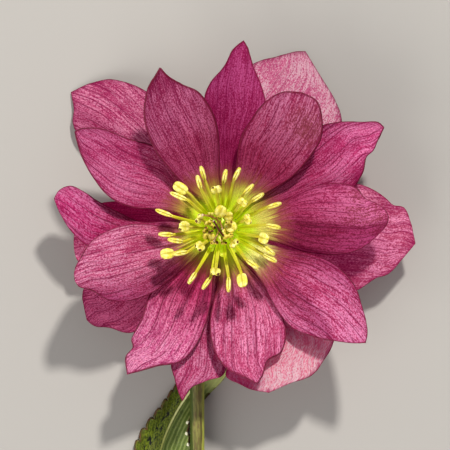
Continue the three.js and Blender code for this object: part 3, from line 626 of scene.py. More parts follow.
def addSepal(sepal, material):
    shape = sepalShape
    rows = sepalRows(sepal)
    widest = rows[-1]["spread"]
    foot = storeyHeights[sepal["storey"]] / mm
    span = math.hypot(*sepal["tip"]) - shape["footRadius"]
    curl = (sepal["tipHeight"] - foot - sepal["rise"] * span) / span ** 2
    seed = sepal["bearing"] * 0.37 + sepal["storey"] * 5.1

    def planAt(along, across):
        row = rows[round(along * shape["rows"])]
        side = 1 - 2 * across  # -1 on the left edge, seen from the receptacle, and 1 on the right
        side *= 1 + shape["raggedEdge"] * abs(side) ** 5 * wobble(along * 16, side * 2, seed)
        return row, side, row["left"].lerp(row["right"], (side + 1) / 2)

    def fanAt(row, side):
        # veins spread faster than the blade up to its widest place, and then run nearly straight
        return side * widest * (row["half"] / row["spread"]) ** 0.9 * (widest / row["spread"]) ** 0.3

    def pointAt(along, across):
        row, side, plan = planAt(along, across)
        out = max(0.0, math.hypot(plan.x, plan.y) - shape["footRadius"])
        free = math.sin(math.pi * along ** 0.8)
        ripple = sepal["wave"] * side ** 2 * math.sin(5 * math.pi * along + sepal["bearing"])
        height = foot + sepal["rise"] * out + curl * out ** 2
        height += free * (sepal["cup"] * (side ** 2 - 0.35) - sepal["lean"] * side + ripple)
        fan = fanAt(row, side)
        pleats = wobble(fan * 0.5, out * 0.05, seed) + 0.5 * wobble(fan * 1.3, out * 0.12, seed + 9)
        height += shape["pleat"] * pleats * smoothStep(0, 0.2, along) * (1 - smoothStep(0.85, 1, along))
        height -= creaseDepth(sepal, plan.x, plan.y)
        return inScene((plan.x, plan.y, max(height, shape["thickness"] / mm / 2)))

    def bladeAt(along, across):
        row, side, plan = planAt(along, across)
        out = math.hypot(plan.x, plan.y) - shape["footRadius"]
        return (out / shape["bladeScale"], 0.5 + fanAt(row, side) / shape["bladeScale"])

    def marginAt(along, across):
        # distance to the nearest edge, in millimetres
        row, side, plan = planAt(along, across)
        toTip = (Vector((*sepal["tip"], 0)) - plan).length
        return min((1 - abs(side)) * row["half"], toTip)

    def creaseShadeAt(along, across):
        # how strong the painted shade along the creases is, from 0 to 1
        plan = planAt(along, across)[2]
        return max(0.0, min(1.0, 2 * creaseDepth(sepal, plan.x, plan.y)))

    bm = bmesh.new()
    addPatch(bm, shape["rows"], shape["columns"], pointAt, bladeAt, {"margin": marginAt, "creaseShade": creaseShadeAt})
    slotName = "pale_sepal" if sepal["storey"] == 0 else "sepal"
    piece = makePiece(sepal["name"] + "_blade", bm, material, sepal["name"], closed=False)
    thicken(piece, shape["thickness"])


# The skin's pattern, in millimetres over the blade: how far apart its veins stand, half their width and
# that of the soft band beside them, the same for the finer veins, and its fixed colours.
skinPattern = {
    "veinSpacing": 1.7,
    "veinWidth": 0.17,
    "veinBand": 0.55,
    "fineSpacing": 0.61,
    "fineWidth": 0.13,
    "relief": 0.13 * mm,
    "stain": srgb(118, 76, 66),
    "footFlecks": srgb(142, 136, 40),
    "footVeins": srgb(118, 92, 30),
    "footBrown": srgb(140, 86, 54),
    # the colour of the painted glow that the foot gives off
    "footLight": (0.15, 0.21, 0.0, 1.0),
    "shadow": srgb(174, 68, 142),  # both shadows multiply, so that the pattern stays clear in them
    "footShadow": srgb(200, 74, 142),
}


def buildPetalSkin():
    # the veined skin of a sepal: thin wavy veins that fan out from the foot, a faint net between them,
    # fine speckle, soft mottling, a foot that goes from lime through cream to brown, and a thin rim, with
    # painted shade multiplied over it and a painted glow
    pattern = skinPattern
    inputs = {"blade": "Vector", "margin": "Float", "creaseShade": "Float", "stain": "Float", "seed": "Float"}
    inputs.update({name: "Color" for name in (*skinColours, "glow")})
    inputs.update({name: "Float" for name in skinAmounts})
    outputs = {"colour": "Color", "roughness": "Float", "height": "Float", "glow": "Color"}
    group, given, results = newGroup("petalSkin", inputs, outputs)
    along = axisOf(given["blade"], "X") * sepalShape["bladeScale"]
    fan = (axisOf(given["blade"], "Y") - 0.5) * sepalShape["bladeScale"]
    margin = given["margin"]

    def placeAt(across):
        return addNode(group, "CombineXYZ", {0: along, 1: across, 2: given["seed"]})

    def lines(across, spacing, width, strength):
        return fade(calc("PINGPONG", across, spacing / 2), 0.02, width, 1.0, 0.0) * strength

    plain = placeAt(fan)
    slow = (cloud(plain, (0.05, 0.2, 1), 1) - 0.5) * 1.6
    quick = (cloud(plain, (0.30, 0.9, 1), 1) - 0.5) * 0.16
    bent = fan + slow + quick
    nearEdge = fade(margin, 0.4, 2.2, 0.5, 0.0)
    strong = fade(cloud(plain, (0.12, 0.8, 2), 1), 0.38, 0.60, 0.15, 0.88)
    weak = fade(cloud(plain, (0.25, 1.2, 3), 1), 0.42, 0.62, 0.20, 0.75)
    mainStrength = calc("MAXIMUM", strong, nearEdge)
    fineStrength = calc("MAXIMUM", weak, nearEdge)
    mainVeins = lines(bent, pattern["veinSpacing"], pattern["veinWidth"], mainStrength)
    bands = lines(bent, pattern["veinSpacing"], pattern["veinBand"], strong * 0.35)
    fineVeins = lines(bent + slow, pattern["fineSpacing"], pattern["fineWidth"], fineStrength)
    veins = calc("MAXIMUM", calc("MAXIMUM", mainVeins, bands), fineVeins)
    veined = placeAt(bent)
    cells = {"Vector": stretched(veined, (0.8, 2.0, 1)), "Scale": 1.0}
    toCellEdge = addNode(group, "TexVoronoi", cells, "Distance", feature="DISTANCE_TO_EDGE")
    net = fade(toCellEdge, 0.01, 0.12, 1.0, 0.0)
    streaks = cloud(veined, (0.30, 2.0, 1), 2, 0.6)
    speckle = cloud(veined, (3.0, 4.4, 1), 2, 0.65)
    mottle = cloud(plain, (0.13, 0.2, 1))
    light = speckle * 0.52 + streaks * 0.28 + mottle * 0.20

    # rose and pale skin, then flecks, clouds, the stain and the veins
    stain = fade(given["stain"], 0.25, 1.0, 0.65, 0.0) * fade(light, 0.44, 0.54, 0.8, 0.0)
    colour = coat(
        blend(fade(light, 0.43, 0.57), given["rose"], given["pale"]),
        (fade(speckle, 0.48, 0.33, 0.0, 0.68) * given["veins"], given["deep"]),
        (fade(mottle, 0.44, 0.30, 0.0, 0.26) * given["veins"], given["deep"]),
        (stain, pattern["stain"]),
        (calc("MAXIMUM", veins, net * 0.24) * given["veins"], given["deep"]),
    )

    # painted shadows, multiplied in: on the blade's inner part, on one of its sides, and along its creases
    inner = fade(along, given["shadeStart"], given["shadeReach"], given["shade"], 0.0)
    inner *= fade(along, 5.0, 13.0, given["footShade"], 1.0)
    darkSide = fade(fan * given["sideShade"], 0.0, 5.5, 0.0, 0.75)
    colour = blend(inner, colour, pattern["footShadow"], "MULTIPLY")
    colour = blend(darkSide, colour, pattern["shadow"], "MULTIPLY")
    colour = blend(given["creaseShade"] * 0.6, colour, pattern["shadow"], "MULTIPLY")

    # the foot, whose end breaks up along the streaks and veins, the brown beyond it, and the edges
    toFoot = along + (streaks - 0.5) * 5.5 + veins * 0.8 - given["footReach"]
    foot = coat(
        blend(fade(along, 1.6, 4.6, 1.0, 0.0), given["cream"], given["lime"]),
        (fade(speckle, 0.44, 0.60, 0.0, 0.55), pattern["footFlecks"]),
        (veins * 0.45, pattern["footVeins"]),
    )
    brown = fade(toFoot, -2.6, 0.2) * fade(toFoot, 0.6, 4.0, 0.6, 0.0)
    ragged = margin + (streaks - 0.5) * 3.0
    rim = fade(margin, 0.07, 0.26, 0.85, 0.0) * fade(speckle, 0.36, 0.56, 0.4, 1.0)
    colour = coat(
        colour,
        (fade(toFoot, -1.0, 1.2, 1.0, 0.0), foot),
        (brown, pattern["footBrown"]),
        (fade(ragged, 0.1, 1.3, 1.0, 0.0) * given["edge"], given["deep"]),
        (rim, given["rim"]),
    )
    # painted glow, given off by the pale foot
    footGlow = fade(toFoot, -3.0, 0.5, 1.0, 0.0) * fade(along, 1.2, 5.5, 1.0, 0.15) * given["footLight"]

    setInput(group, results["colour"], colour)
    setInput(group, results["roughness"], fade(speckle, 0.3, 0.7, 0.58, 0.44))
    setInput(group, results["height"], speckle * 0.55 + streaks * 0.40 - veins * 0.30 - net * 0.10)
    setInput(group, results["glow"], blend(footGlow, given["glow"], pattern["footLight"]))
    return group


def buildSepalMaterial(sepal, skin):
    material, tree = newMaterial("skin_" + sepal["name"])
    stainX, stainY, stainRadius = sepal["stain"]
    stainSpot = inScene((stainX, stainY, 0))
    fromStain = addNode(tree, "VectorMath", {0: readPlace(tree), 1: stainSpot}, operation="SUBTRACT")
    fromStain = stretched(fromStain, (1 / mm, 1 / mm, 0))
    toStain = addNode(tree, "VectorMath", {0: fromStain}, "Value", operation="LENGTH")
    values = {
        "blade": readBlade(tree),
        "margin": readMark(tree, "margin"),
        "creaseShade": readMark(tree, "creaseShade"),
        "stain": calc("DIVIDE", toStain, stainRadius),
        "seed": sepal["bearing"] * 0.31 + sepal["storey"] * 2.7,
        "glow": (sepal["glow"], 0.0, 0.26 * sepal["glow"], 1.0),
    }
    values.update({name: srgb(*sepal[name]) for name in skinColours})
    values.update({name: sepal[name] for name in skinAmounts})
    group = tree.nodes.new("ShaderNodeGroup")
    group.node_tree = skin
    for name, value in values.items():
        setInput(tree, group.inputs[name], value)
    made = {socket.name: Signal(tree, socket) for socket in group.outputs}
    inputs = {
        "Base Color": made["colour"],
        "Roughness": made["roughness"],
        "Specular IOR Level": 0.16,
        "Emission Color": made["glow"],
        "Emission Strength": 1.0,
        "Subsurface Weight": 0.12,
        "Subsurface Radius": (1.0, 0.2, 0.4),
        "Subsurface Scale": 0.5 * mm,
    }
    return finishMaterial(material, inputs, made["height"], skinPattern["relief"])


# Stamens: the ripe ones stand out all round, the young ones are still bunched round the pistil.
stamenSettings = {
    "rootRadius": 2.5,
    "rootHeight": 14.6,
    "sunk": 1.2,  # how far the filaments reach into the receptacle
    "shortest": 8.5,
    "perReach": 0.35,  # the further out an anther stands, the longer its filament
    "antherLength": 3.3,
    "antherWidth": 2.35,
    "antherThickness": 1.16,
    "antherSteps": 16,
    "antherSides": 28,
    "slitDepth": 0.16,  # slits and grooves are shares of the anther's half width and half thickness
    "slitWidth": 0.26,
    "grooveDepth": 0.45,
    "grooveWidth": 0.3,
    "scarWidth": 0.36,
    "filamentRadii": [0.46, 0.41, 0.36, 0.32, 0.28, 0.23],
    "filamentSteps": 14,
    "filamentSides": 9,
    "filamentSqueeze": 0.8,
    "elbowAt": 0.55,  # where along a filament its bend is
    "elbowLift": 0.12,
    "elbowSway": 0.25,
    "youngRootRadius": 2.1,
    "youngSunk": 1.0,
    "youngLength": 2.7,
    "youngSize": 1.24,
}

# base x and y, tip x and y, whether the anther shows its narrow edge or its broad face upwards, and how
# brown its scars are, if it has any
ripeStamens = [
    (-3.3, 9.8, -4.1, 12.5, "edge"),
    (-4.1, 8.2, -4.8, 10.6, "edge"),
    (-0.9, 7.3, -1.1, 8.5, "edge", 0.6),
    (0.4, 9.2, 0.9, 11.8, "edge"),
    (2.5, 9.9, 3.6, 12.1, "edge"),
    (4.3, 6.9, 6.3, 8.9, "edge"),
    (3.8, 5, 4.5, 5.9, "broad"),
    (6, 5.6, 8.3, 7.1, "edge"),
    (9.1, 4.4, 11.8, 5.2, "edge"),
    (4.8, 1.9, 5.6, 2.2, "broad", 0.6),
    (8.8, 0.9, 11.7, 0.3, "edge"),
    (7.4, -1.4, 9.3, -2, "broad"),
    (8.3, -3.3, 10.5, -5, "edge"),
    (8.2, -4.9, 11, -6.4, "edge"),
    (5, -6.1, 7.3, -7.6, "edge"),
    (3.9, -8.6, 4.3, -11.4, "broad"),
    (1.4, -9.5, 1.4, -12.3, "edge"),
    (-1.1, -7.7, -1.3, -8.9, "edge", 1.0),
    (-2.2, -9.5, -3.7, -11.7, "edge"),
    (-5.2, -8.7, -6.4, -10.5, "edge"),
    (-9.3, -4.6, -12.1, -4.9, "broad", 0.6),
    (-6.7, -4.4, -9.5, -4.9, "edge"),
    (-7.7, -2.4, -10.6, -1.9, "edge"),
    (-9.5, -1, -12.5, -0.9, "edge"),
    (-6.3, 0.5, -8.4, 0.7, "broad", 0.9),
    (-9.5, 2.6, -13.2, 4, "edge"),
    (-6.6, 5.8, -10.3, 7.4, "edge"),
    (-6.7, 7.3, -9.5, 9.1, "broad"),
    (-4, 2, -4.8, 2.3, "edge", 1.0),
    (-3.7, -2.9, -4.8, -3.7, "broad", 1.0),
    (2.3, -2.5, 2.8, -3, "broad", 0.8),
]

# x, y and height of the middle, size, the bearing from one lobe to the other, how far it leans over
# (1 is lying, below 0 the other way), and how brown it is
youngStamens = [
    (-0.2, 3.6, 20.4, 0.86, 150, -0.85, 0.0),
    (-2.15, 3.05, 19.4, 0.5, 0, 0.3, 0.0),
    (1.4, 2.6, 20.0, 0.72, 95, -0.75, 0.2),
    (1.8, 0.6, 20.2, 0.92, 45, -0.8, 0.1),
    (1.5, 1.4, 21.6, 0.55, 0, 0.1, 0.8),
    (1.3, -1.3, 20.8, 0.84, 15, 0.1, 0.6),
    (-0.15, -1.8, 20.0, 0.5, 120, 0.2, 0.0),
    (0.5, -0.5, 21.2, 0.45, 100, 0.3, 0.0),
    (-2.6, 1.4, 20.2, 0.68, 20, 0.2, 0.6),
    (-3.2, -0.1, 19.8, 0.6, 60, 0.2, 1.0),
    (-2.8, -1.2, 19.8, 0.72, 20, 0.4, 0.7),
    (-1.95, -1.4, 20.4, 0.5, 0, 0.85, 0.5),
    (-2.1, -0.3, 21.2, 0.42, 0, 0.0, 1.0),
    (-1.4, -2.6, 20.2, 0.66, 0, 0.0, 1.0),
    (0.5, -2.7, 19.4, 0.5, 0, 0.1, 1.0),
    (-1.8, 0.7, 19.8, 0.66, -45, 0.1, 1.0),
]


def addAnther(bm, base, tip, across, size, brown, golden, seed):
    # two lobes side by side, each with a slit along its outer edge and a groove between them
    settings = stamenSettings
    axis = tip - base
    wide = (across - across.dot(axis) / axis.length_squared * axis).normalized()
    thick = axis.cross(wide).normalized()
    width = settings["antherWidth"] * size / 2
    depth = settings["antherThickness"] * size / 2

    def pointAt(along, around):
        x, y = math.cos(2 * math.pi * around), math.sin(2 * math.pi * around)
        swell = max(0.0, 1 - abs(2 * along - 1) ** 2.8) ** 0.5
        swell *= 1 + 0.06 * wobble(along * 4 + seed, 2 * x, 2 * y)
        slit = 1 - settings["slitDepth"] * bump(y, settings["slitWidth"])
        groove = 1 - settings["grooveDepth"] * bump(x, settings["grooveWidth"])
        lift = 0.07 * axis.length * math.cos(math.pi * along) * bump(x, 0.5)
        aside = wide * x * slit * width + thick * y * groove * depth
        return inScene(base + axis * along + axis.normalized() * lift + aside * swell)

    def slitAt(along, around):
        ends = smoothStep(0, 0.12, along) * (1 - smoothStep(0.88, 1, along))
        return bump(math.sin(2 * math.pi * around), settings["slitWidth"]) * ends

    scars = [pointAt(0.9 + 0.08 * wobble(seed * 2.3 + order, 5.1), 0.04 + 0.5 * order) for order in (0, 1)]

    def scarAt(along, around):
        # a small brown scar near the tip of each lobe, the second one fainter
        offs = [(pointAt(along, around) - scar).length / mm for scar in scars]
        return brown * max(bump(offs[0], settings["scarWidth"]), 0.6 * bump(offs[1], settings["scarWidth"]))

    marks = {
        "slit": slitAt,
        "groove": lambda along, around: bump(math.cos(2 * math.pi * around), 0.2),
        "brown": scarAt,
        "golden": lambda along, around: golden,
    }
    addPatch(bm, settings["antherSteps"], settings["antherSides"], pointAt, None, marks)


def addFilament(bm, root, base, end, sideways, seed):
    settings = stamenSettings
    elbow = root.lerp(base, settings["elbowAt"])
    elbow.z += settings["elbowLift"] * (base.z - root.z)
    elbow += sideways * settings["elbowSway"] * wobble(seed, 3.3)
    points = [inScene(place) for place in (root, elbow, base, end)]
    addTube(bm, points, lambda t: curveValue(settings["filamentRadii"], t) * mm, settings["filamentSteps"],
            settings["filamentSides"], sideways, settings["filamentSqueeze"])


def addStamens():
    settings = stamenSettings
    anthers, filaments = bmesh.new(), bmesh.new()
    for seed, (baseX, baseY, tipX, tipY, face, *brown) in enumerate(ripeStamens):
        outward = Vector((baseX, baseY, 0))
        reach = outward.length - settings["rootRadius"]
        outward.normalize()
        sideways = Vector((-outward.y, outward.x, 0))
        length = settings["shortest"] + settings["perReach"] * reach
        height = settings["rootHeight"] + math.sqrt(length ** 2 - reach ** 2)
        planLength = math.hypot(tipX - baseX, tipY - baseY)
        climb = math.sqrt(max(0.0, settings["antherLength"] ** 2 - planLength ** 2))
        root = outward * settings["rootRadius"]
        root.z = settings["rootHeight"] - settings["sunk"]
        base = Vector((baseX, baseY, height))
        tip = Vector((tipX, tipY, height + climb * 0.85))
        upright = abs(tip.z - base.z) > 0.75 * (tip - base).length
        across = sideways if upright or face == "broad" else Vector((0, 0, 1))
        addFilament(filaments, root, base, base.lerp(tip, 0.3), sideways, seed)
        addAnther(anthers, base, tip, across, 1.0, sum(brown), 0.0, seed)
    for seed, (x, y, height, size, bearing, lean, brown) in enumerate(youngStamens):
        middle = Vector((x, y, height))
        size *= settings["youngSize"]
        outward = Vector((x, y, 0)).normalized()
        root = outward * settings["youngRootRadius"]
        root.z = receptacleTop / mm - settings["youngSunk"]
        over = polar(lean, bearing + 90)
        over.z = math.sqrt(1 - lean ** 2)
        half = over * settings["youngLength"] * size / 2
        base = middle - half
        sideways = polar(1, bearing)
        addFilament(filaments, root, base, base.lerp(middle, 0.6), sideways, seed + 50)
        addAnther(anthers, base, middle + half, sideways, size, brown, 0.15 + 0.8 * brown, seed + 50)
    makePiece("anthers", anthers, buildAntherMaterial(), "stamens")
    makePiece("filaments", filaments, buildFilamentMaterial(), "stamens")


def buildAntherMaterial():
    material, tree = newMaterial("antherSkin")
    grain = cloud(readPlace(tree), (1500, 1500, 1500))
    freckles = cloud(readPlace(tree), (900, 900, 900), 1)
    scars = readMark(tree, "brown") + (freckles - 0.5) * 0.5
    colour = coat(
        blend(fade(grain, 0.35, 0.65), srgb(228, 216, 78), srgb(250, 244, 154)),
        (readMark(tree, "golden") * 0.75, srgb(206, 176, 52)),
        (readMark(tree, "groove") * 0.85, srgb(180, 162, 28)),
        (fade(readMark(tree, "slit"), 0.30, 0.75, 0.0, 0.9), srgb(164, 142, 14)),
        (fade(scars, 0.34, 0.50, 0.0, 0.95), srgb(84, 36, 12)),
    )
    inputs = {
        "Base Color": colour,
        "Roughness": 0.5,
        "Subsurface Weight": 0.12,
        "Subsurface Radius": (1.0, 0.9, 0.3),
        "Subsurface Scale": 0.4 * mm,
    }
    return finishMaterial(material, inputs, grain, 0.08 * mm)


def buildFilamentMaterial():
    material, tree = newMaterial("filamentSkin")
    blade = readBlade(tree)
    along = axisOf(blade, "X")
    streaks = cloud(blade, (2, 11, 1))
    patches = cloud(readPlace(tree), (420, 420, 300), 1)
    colour = coat(
        blend(fade(along, 0.15, 0.85), srgb(204, 212, 40), srgb(206, 190, 58)),
        (fade(patches, 0.42, 0.62, 0.0, 0.5), srgb(222, 214, 98)),
        (fade(streaks, 0.46, 0.66, 0.0, 0.7), srgb(136, 122, 16)),
    )
    rootGlow = fade(along, 0.15, 0.5, 1.0, 0.0)  # painted glow near the roots, standing in for light that comes through the pale tissue
    inputs = {
        "Base Color": colour,
        "Roughness": 0.42,
        "Emission Color": blend(rootGlow, srgb(0, 0, 0), srgb(176, 200, 12)),
        "Emission Strength": 0.32,
        "Subsurface Weight": 0.2,
        "Subsurface Radius": (0.8, 1.0, 0.2),
        "Subsurface Scale": 0.5 * mm,
    }
    return finishMaterial(material, inputs, streaks, 0.06 * mm)


# The receptacle's dome and the ring of green nectaries under the stamens. Each nectary is a short tube
# that widens outwards.
nectarySettings = {
    "domeRadius": 3.3,
    "domeBottom": 9.3,
    "domeSides": 36,
    "count": 11,
    "start": 2.4,
    "reach": 4.9,
    "reachChange": 0.5,
    "low": 14.2,
    "high": 16.4,
    "radius": 0.35,
    "flare": 0.3,
    "steps": 12,
    "sides": 14,
}


def addNectaries():
    settings = nectarySettings
    bm = bmesh.new()
    radius = settings["domeRadius"]
    bottom = settings["domeBottom"]
    top = receptacleTop / mm
    profile = [(0, bottom), (radius, bottom), (radius, top - 1.4),
               (radius - 0.4, top - 0.5), (radius - 1.5, top), (0, top)]

    def domeAt(along, around):
        out, height = profile[round(along * (len(profile) - 1))]
        return inScene(polar(out, 360 * around) + Vector((0, 0, height)))

    def radiusAt(t):
        return (settings["radius"] + settings["flare"] * t ** 1.5) * mm

    addPatch(bm, len(profile) - 1, settings["domeSides"], domeAt)
    for k in range(settings["count"]):
        outward = polar(1, k * 360 / settings["count"] + 12)
        reach = settings["reach"] + settings["reachChange"] * math.sin(k * 2.4)
        start = outward * settings["start"] + Vector((0, 0, settings["low"]))
        end = outward * reach + Vector((0, 0, settings["high"]))
        points = [inScene(place) for place in (start, start.lerp(end, 0.5), end)]
        addTube(bm, points, radiusAt, settings["steps"], settings["sides"], (-outward.y, outward.x, 0))
    makePiece("nectaries", bm, buildNectaryMaterial(), "stamens")


def buildNectaryMaterial():
    material, tree = newMaterial("nectarySkin")
    grain = cloud(readPlace(tree), (700, 700, 700))
    light = srgb(226, 242, 76)
    inputs = {
        "Base Color": blend(fade(grain, 0.35, 0.65), srgb(190, 220, 20), light),
        "Roughness": 0.35,
        # the nectaries give off a painted glow in their pale colour
        "Emission Color": light,
        "Emission Strength": 0.14,
        "Subsurface Weight": 0.15,
        "Subsurface Scale": 0.5 * mm,
    }
    return finishMaterial(material, inputs, grain, 0.08 * mm)


# The pistil: green carpels on a small base, each drawn out into a curved brownish style with a pale
# stigma. Each has how dark it is, which on the second is painted shade where it lies in shadow, and its
# path from the base up to the tip.
pistilSettings = {
    "carpels": [
        (0.2, [(-0.4, 0.3, 16), (-0.5, 0.4, 18.2), (-0.6, 1.1, 21), (-1, 2.1, 23.1),
               (-2.3, 2.65, 25.2), (-3.8, 2.9, 27)]),
        (1.0, [(0.3, -0.4, 16), (0.5, -0.6, 18.4), (0.4, -1.2, 21), (0.1, -0.9, 23.2),
               (-0.8, 0.5, 24.4), (-1.6, 1.8, 25)]),
        (0.1, [(-0.1, 0.6, 16), (-0.1, 0.8, 18.4), (-0.4, 1.4, 20.8), (-0.3, 1.7, 22.6),
               (-0.1, 1, 24), (0.2, 0.1, 24.4)]),
        (0.15, [(-0.4, -0.4, 16), (-0.6, -0.5, 18.4), (-0.5, -0.2, 21), (-0.6, -0.5, 22.6),
                (-1, -1.3, 23.6), (-1.5, -2.3, 24)]),
    ],
    "radii": [0.32, 0.58, 0.50, 0.26, 0.20, 0.19, 0.19, 0.23],
    "steps": 34,
    "sides": 12,
    "baseRadius": 1.3,
    "baseTaper": 0.15,
    "baseHeight": 0.9,
    "baseLift": 0.3,
    "baseSteps": 8,
    "baseSides": 20,
}


def addPistil():
    settings = pistilSettings
    bm = bmesh.new()
    for dark, path in settings["carpels"]:
        points = [inScene(place) for place in path]
        marks = {"dark": lambda along, around: dark, "reach": lambda along, around: along}
        addTube(bm, points, lambda t: curveValue(settings["radii"], t) * mm,
                settings["steps"], settings["sides"], (0.8, 0.6, 0), 1.0, marks)
    bottom = receptacleTop / mm + settings["baseLift"]
    ends = [inScene((0, 0, height)) for height in (bottom, bottom + settings["baseHeight"])]
    addTube(bm, ends, lambda t: (settings["baseRadius"] - settings["baseTaper"] * t) * mm,
            settings["baseSteps"], settings["baseSides"], (1, 0, 0))
    makePiece("carpels", bm, buildPistilMaterial(), "pistil")


def buildPistilMaterial():
    material, tree = newMaterial("styleSkin")
    reach = readMark(tree, "reach")
    grain = cloud(readPlace(tree), (900, 900, 900))
    browns = blend(fade(grain, 0.38, 0.62), srgb(150, 112, 50), srgb(196, 160, 92))
    # the dark share turns a style deep maroon; on the shaded style this is painted shade
    styleColour = blend(readMark(tree, "dark"), browns, srgb(84, 24, 20))
    colour = coat(
        srgb(176, 200, 40),
        (fade(reach, 0.34, 0.52), styleColour),
        (fade(reach, 0.945, 0.975), srgb(216, 190, 156)),
    )
    return finishMaterial(material, {"Base Color": colour, "Roughness": 0.45}, grain, 0.06 * mm)


# The stem: flared under the flower, bent back, then along the floor over the bract to its plain cut end.
stemSettings = {
    "radius": 1.45,
    "path": [
        (0, 0, 9.0),
        (0, -0.1, 7.6),
        (-0.2, -1.6, 4.6),
        (-0.9, -5.6, 3.1),
        (-3, -14, 2.9),
        (-4.4, -22, 3.1),
        (-4.85, -30, 3.3),
        (-4.9, -44, 3.1),
        (-4.9, -58, 3),
        (-4.9, -72, 2.9),
        (-4.9, -84, 1.9),
        (-4.9, -92, 1.38),
        (-4.9, -97.6, 1.38),
    ],
    "flare": 1.75,
    "flareEnd": 0.09,
    "nodeY": -72.5,
    "swelling": 0.4,
    "swellingReach": 2.2,
    "steps": 150,
    "sides": 32,
}


def addStem():
    settings = stemSettings
    points = [inScene(place) for place in settings["path"]]

    def radiusAt(t):
        y = (curvePoint(points, t).y - flowerAxis.y) / mm
        flare = settings["flare"] * (1 - smoothStep(0, settings["flareEnd"], t))
        swelling = settings["swelling"] * bump(y - settings["nodeY"], settings["swellingReach"])
        return (settings["radius"] + flare + swelling) * mm

    bm = bmesh.new()
    addTube(bm, points, radiusAt, settings["steps"], settings["sides"], (1, 0, 0))
    for v in bm.verts:
        v.co.z = max(v.co.z, 0.0)
    makePiece("stalk", bm, buildStemMaterial(), "stem")


def buildStemMaterial():
    # painted shade, dark green, down its left side, brown streaks along the top, and painted light along a
    # ridge on its right side, which faces the lamp
    material, tree = newMaterial("stemSkin")
    streaks = cloud(readPlace(tree), (2200, 170, 1500), 3, 0.6)
    speckle = cloud(readPlace(tree), (2600, 620, 2000), 2, 0.6)
    rightward = calc("COSINE", axisOf(readBlade(tree), "Y") * (2 * math.pi)) + (streaks - 0.5) * 0.7
    colour = coat(
        blend(fade(streaks, 0.38, 0.62), srgb(100, 98, 46), srgb(134, 130, 72)),
        (fade(speckle, 0.48, 0.62, 0.0, 0.5), srgb(96, 68, 50)),
        # painted shade down the left side, then painted light along the right side
        (fade(rightward, -0.75, -0.30, 0.85, 0.0), srgb(58, 78, 18)),
        (fade(rightward, 0.60, 0.82, 0.0, 0.85), srgb(176, 182, 78)),
    )
    inputs = {"Base Color": colour, "Roughness": fade(streaks, 0.3, 0.7, 0.5, 0.38)}
    return finishMaterial(material, inputs, streaks, 0.1 * mm)


# The bract: three toothed lobes from the stem's node, the long one reaching under the flower. Each has
# its midrib in plan and the width of its two halves, evenly spaced along it, in millimetres.
bractSettings = {
    "thickness": 0.5 * mm,
    "rowsPerTooth": 10,
    "columns": 36,
    "notch": 0.15,
    "toothLean": 0.9,
    "toothLength": 2.11,  # of the long lobe
    "ribHeight": 0.16,
    "bladeScale": 80.0,  # millimetres that one unit of the leaf's UV map stands for
    "lobes": [
        {
            "midrib": [(-4.9, -72.5), (-8.5, -66), (-11.9, -58), (-12.9, -50.5), (-12.1, -43.9),
                       (-9.3, -37.3), (-5.8, -32), (-2.5, -27.6), (0.6, -23)],
            "left": [1.5, 2.6, 5.6, 6.1, 5.2, 3.4, 3.2, 3, 0],
            "right": [1.5, 2.1, 4.8, 7.2, 6.2, 3.1, 3.5, 4, 0],
            "teeth": 26,
            "edgeLift": 1.2,
        },
        {
            "midrib": [(-4.9, -72.5), (-0.9, -69), (4.2, -63.4), (8.8, -57.4), (12.2, -51)],
            "left": [1.3, 2.4, 3.8, 3.2, 0],
            "right": [1.3, 2.6, 4, 3.3, 0],
            "teeth": 9,
            "edgeLift": 1.1,
        },
        {
            "midrib": [(-4.9, -72.5), (-10.4, -72.6), (-17.6, -70.6), (-24.4, -67), (-29.4, -62.4)],
            "left": [1.2, 2.4, 3.6, 3, 0],
            "right": [1.2, 2.2, 3.4, 3, 0],
            "teeth": 9,
            "edgeLift": 1.1,
        },
    ],
}


def addLobe(bm, lobe, order):
    settings = bractSettings
    midrib = [Vector((x, y, 0)) for x, y in lobe["midrib"]]
    length = sum((b - a).length for a, b in zip(midrib, midrib[1:]))

    def halfAt(along, side):
        return curveValue(lobe["left"] if side < 0 else lobe["right"], along)

    def pointAt(along, across):
        side = 2 * across - 1
        course = (curvePoint(midrib, along + 0.01) - curvePoint(midrib, along - 0.01)).normalized()
        rightward = Vector((course.y, -course.x, 0))
        tooth = math.sin(math.pi * ((along * lobe["teeth"]) % 1.0))
        atEdge = abs(side) ** 6 * smoothStep(0.0, 0.08, along)
        shallow = 1 - 0.8 * smoothStep(0.3, 0.4, along) * (side > 0)  # where the edge meets the stem
        cut = settings["notch"] * shallow * (1 - tooth ** 0.6) * atEdge
        place = curvePoint(midrib, along) + rightward * side * halfAt(along, side) * (1 - cut)
        place += course * settings["toothLean"] * tooth * atEdge
        free = smoothStep(0.06, 0.4, along) * (1 - smoothStep(0.62, 0.78, along))
        height = settings["thickness"] / mm / 2 + 0.05
        height += lobe["edgeLift"] * free * max(0.0, abs(side) - 0.5) * 2
        height += settings["ribHeight"] * bump(side * halfAt(along, side), 0.35) - 0.02 * order
        height += 0.05 * wobble(place.x * 0.6, place.y * 0.6, 4) * (1 - bump(side, 0.2))
        return inScene((place.x, place.y, height))

    def bladeAt(along, across):
        side = 2 * across - 1
        scale = settings["bladeScale"]
        return (along * length / scale, 0.5 + side * halfAt(along, side) / scale)

    def marginAt(along, across):
        side = 2 * across - 1
        return (1 - abs(side)) * halfAt(along, side)

    rowCount = lobe["teeth"] * settings["rowsPerTooth"]
    addPatch(bm, rowCount, settings["columns"], pointAt, bladeAt, {"margin": marginAt})


def addBract():
    bm = bmesh.new()
    for order, lobe in enumerate(bractSettings["lobes"]):
        addLobe(bm, lobe, order)
    bmesh.ops.reverse_faces(bm, faces=bm.faces)
    piece = makePiece("leaf", bm, buildBractMaterial(), "bract", closed=False)
    thicken(piece, bractSettings["thickness"], even=False)  # even offsets would spike at the teeth


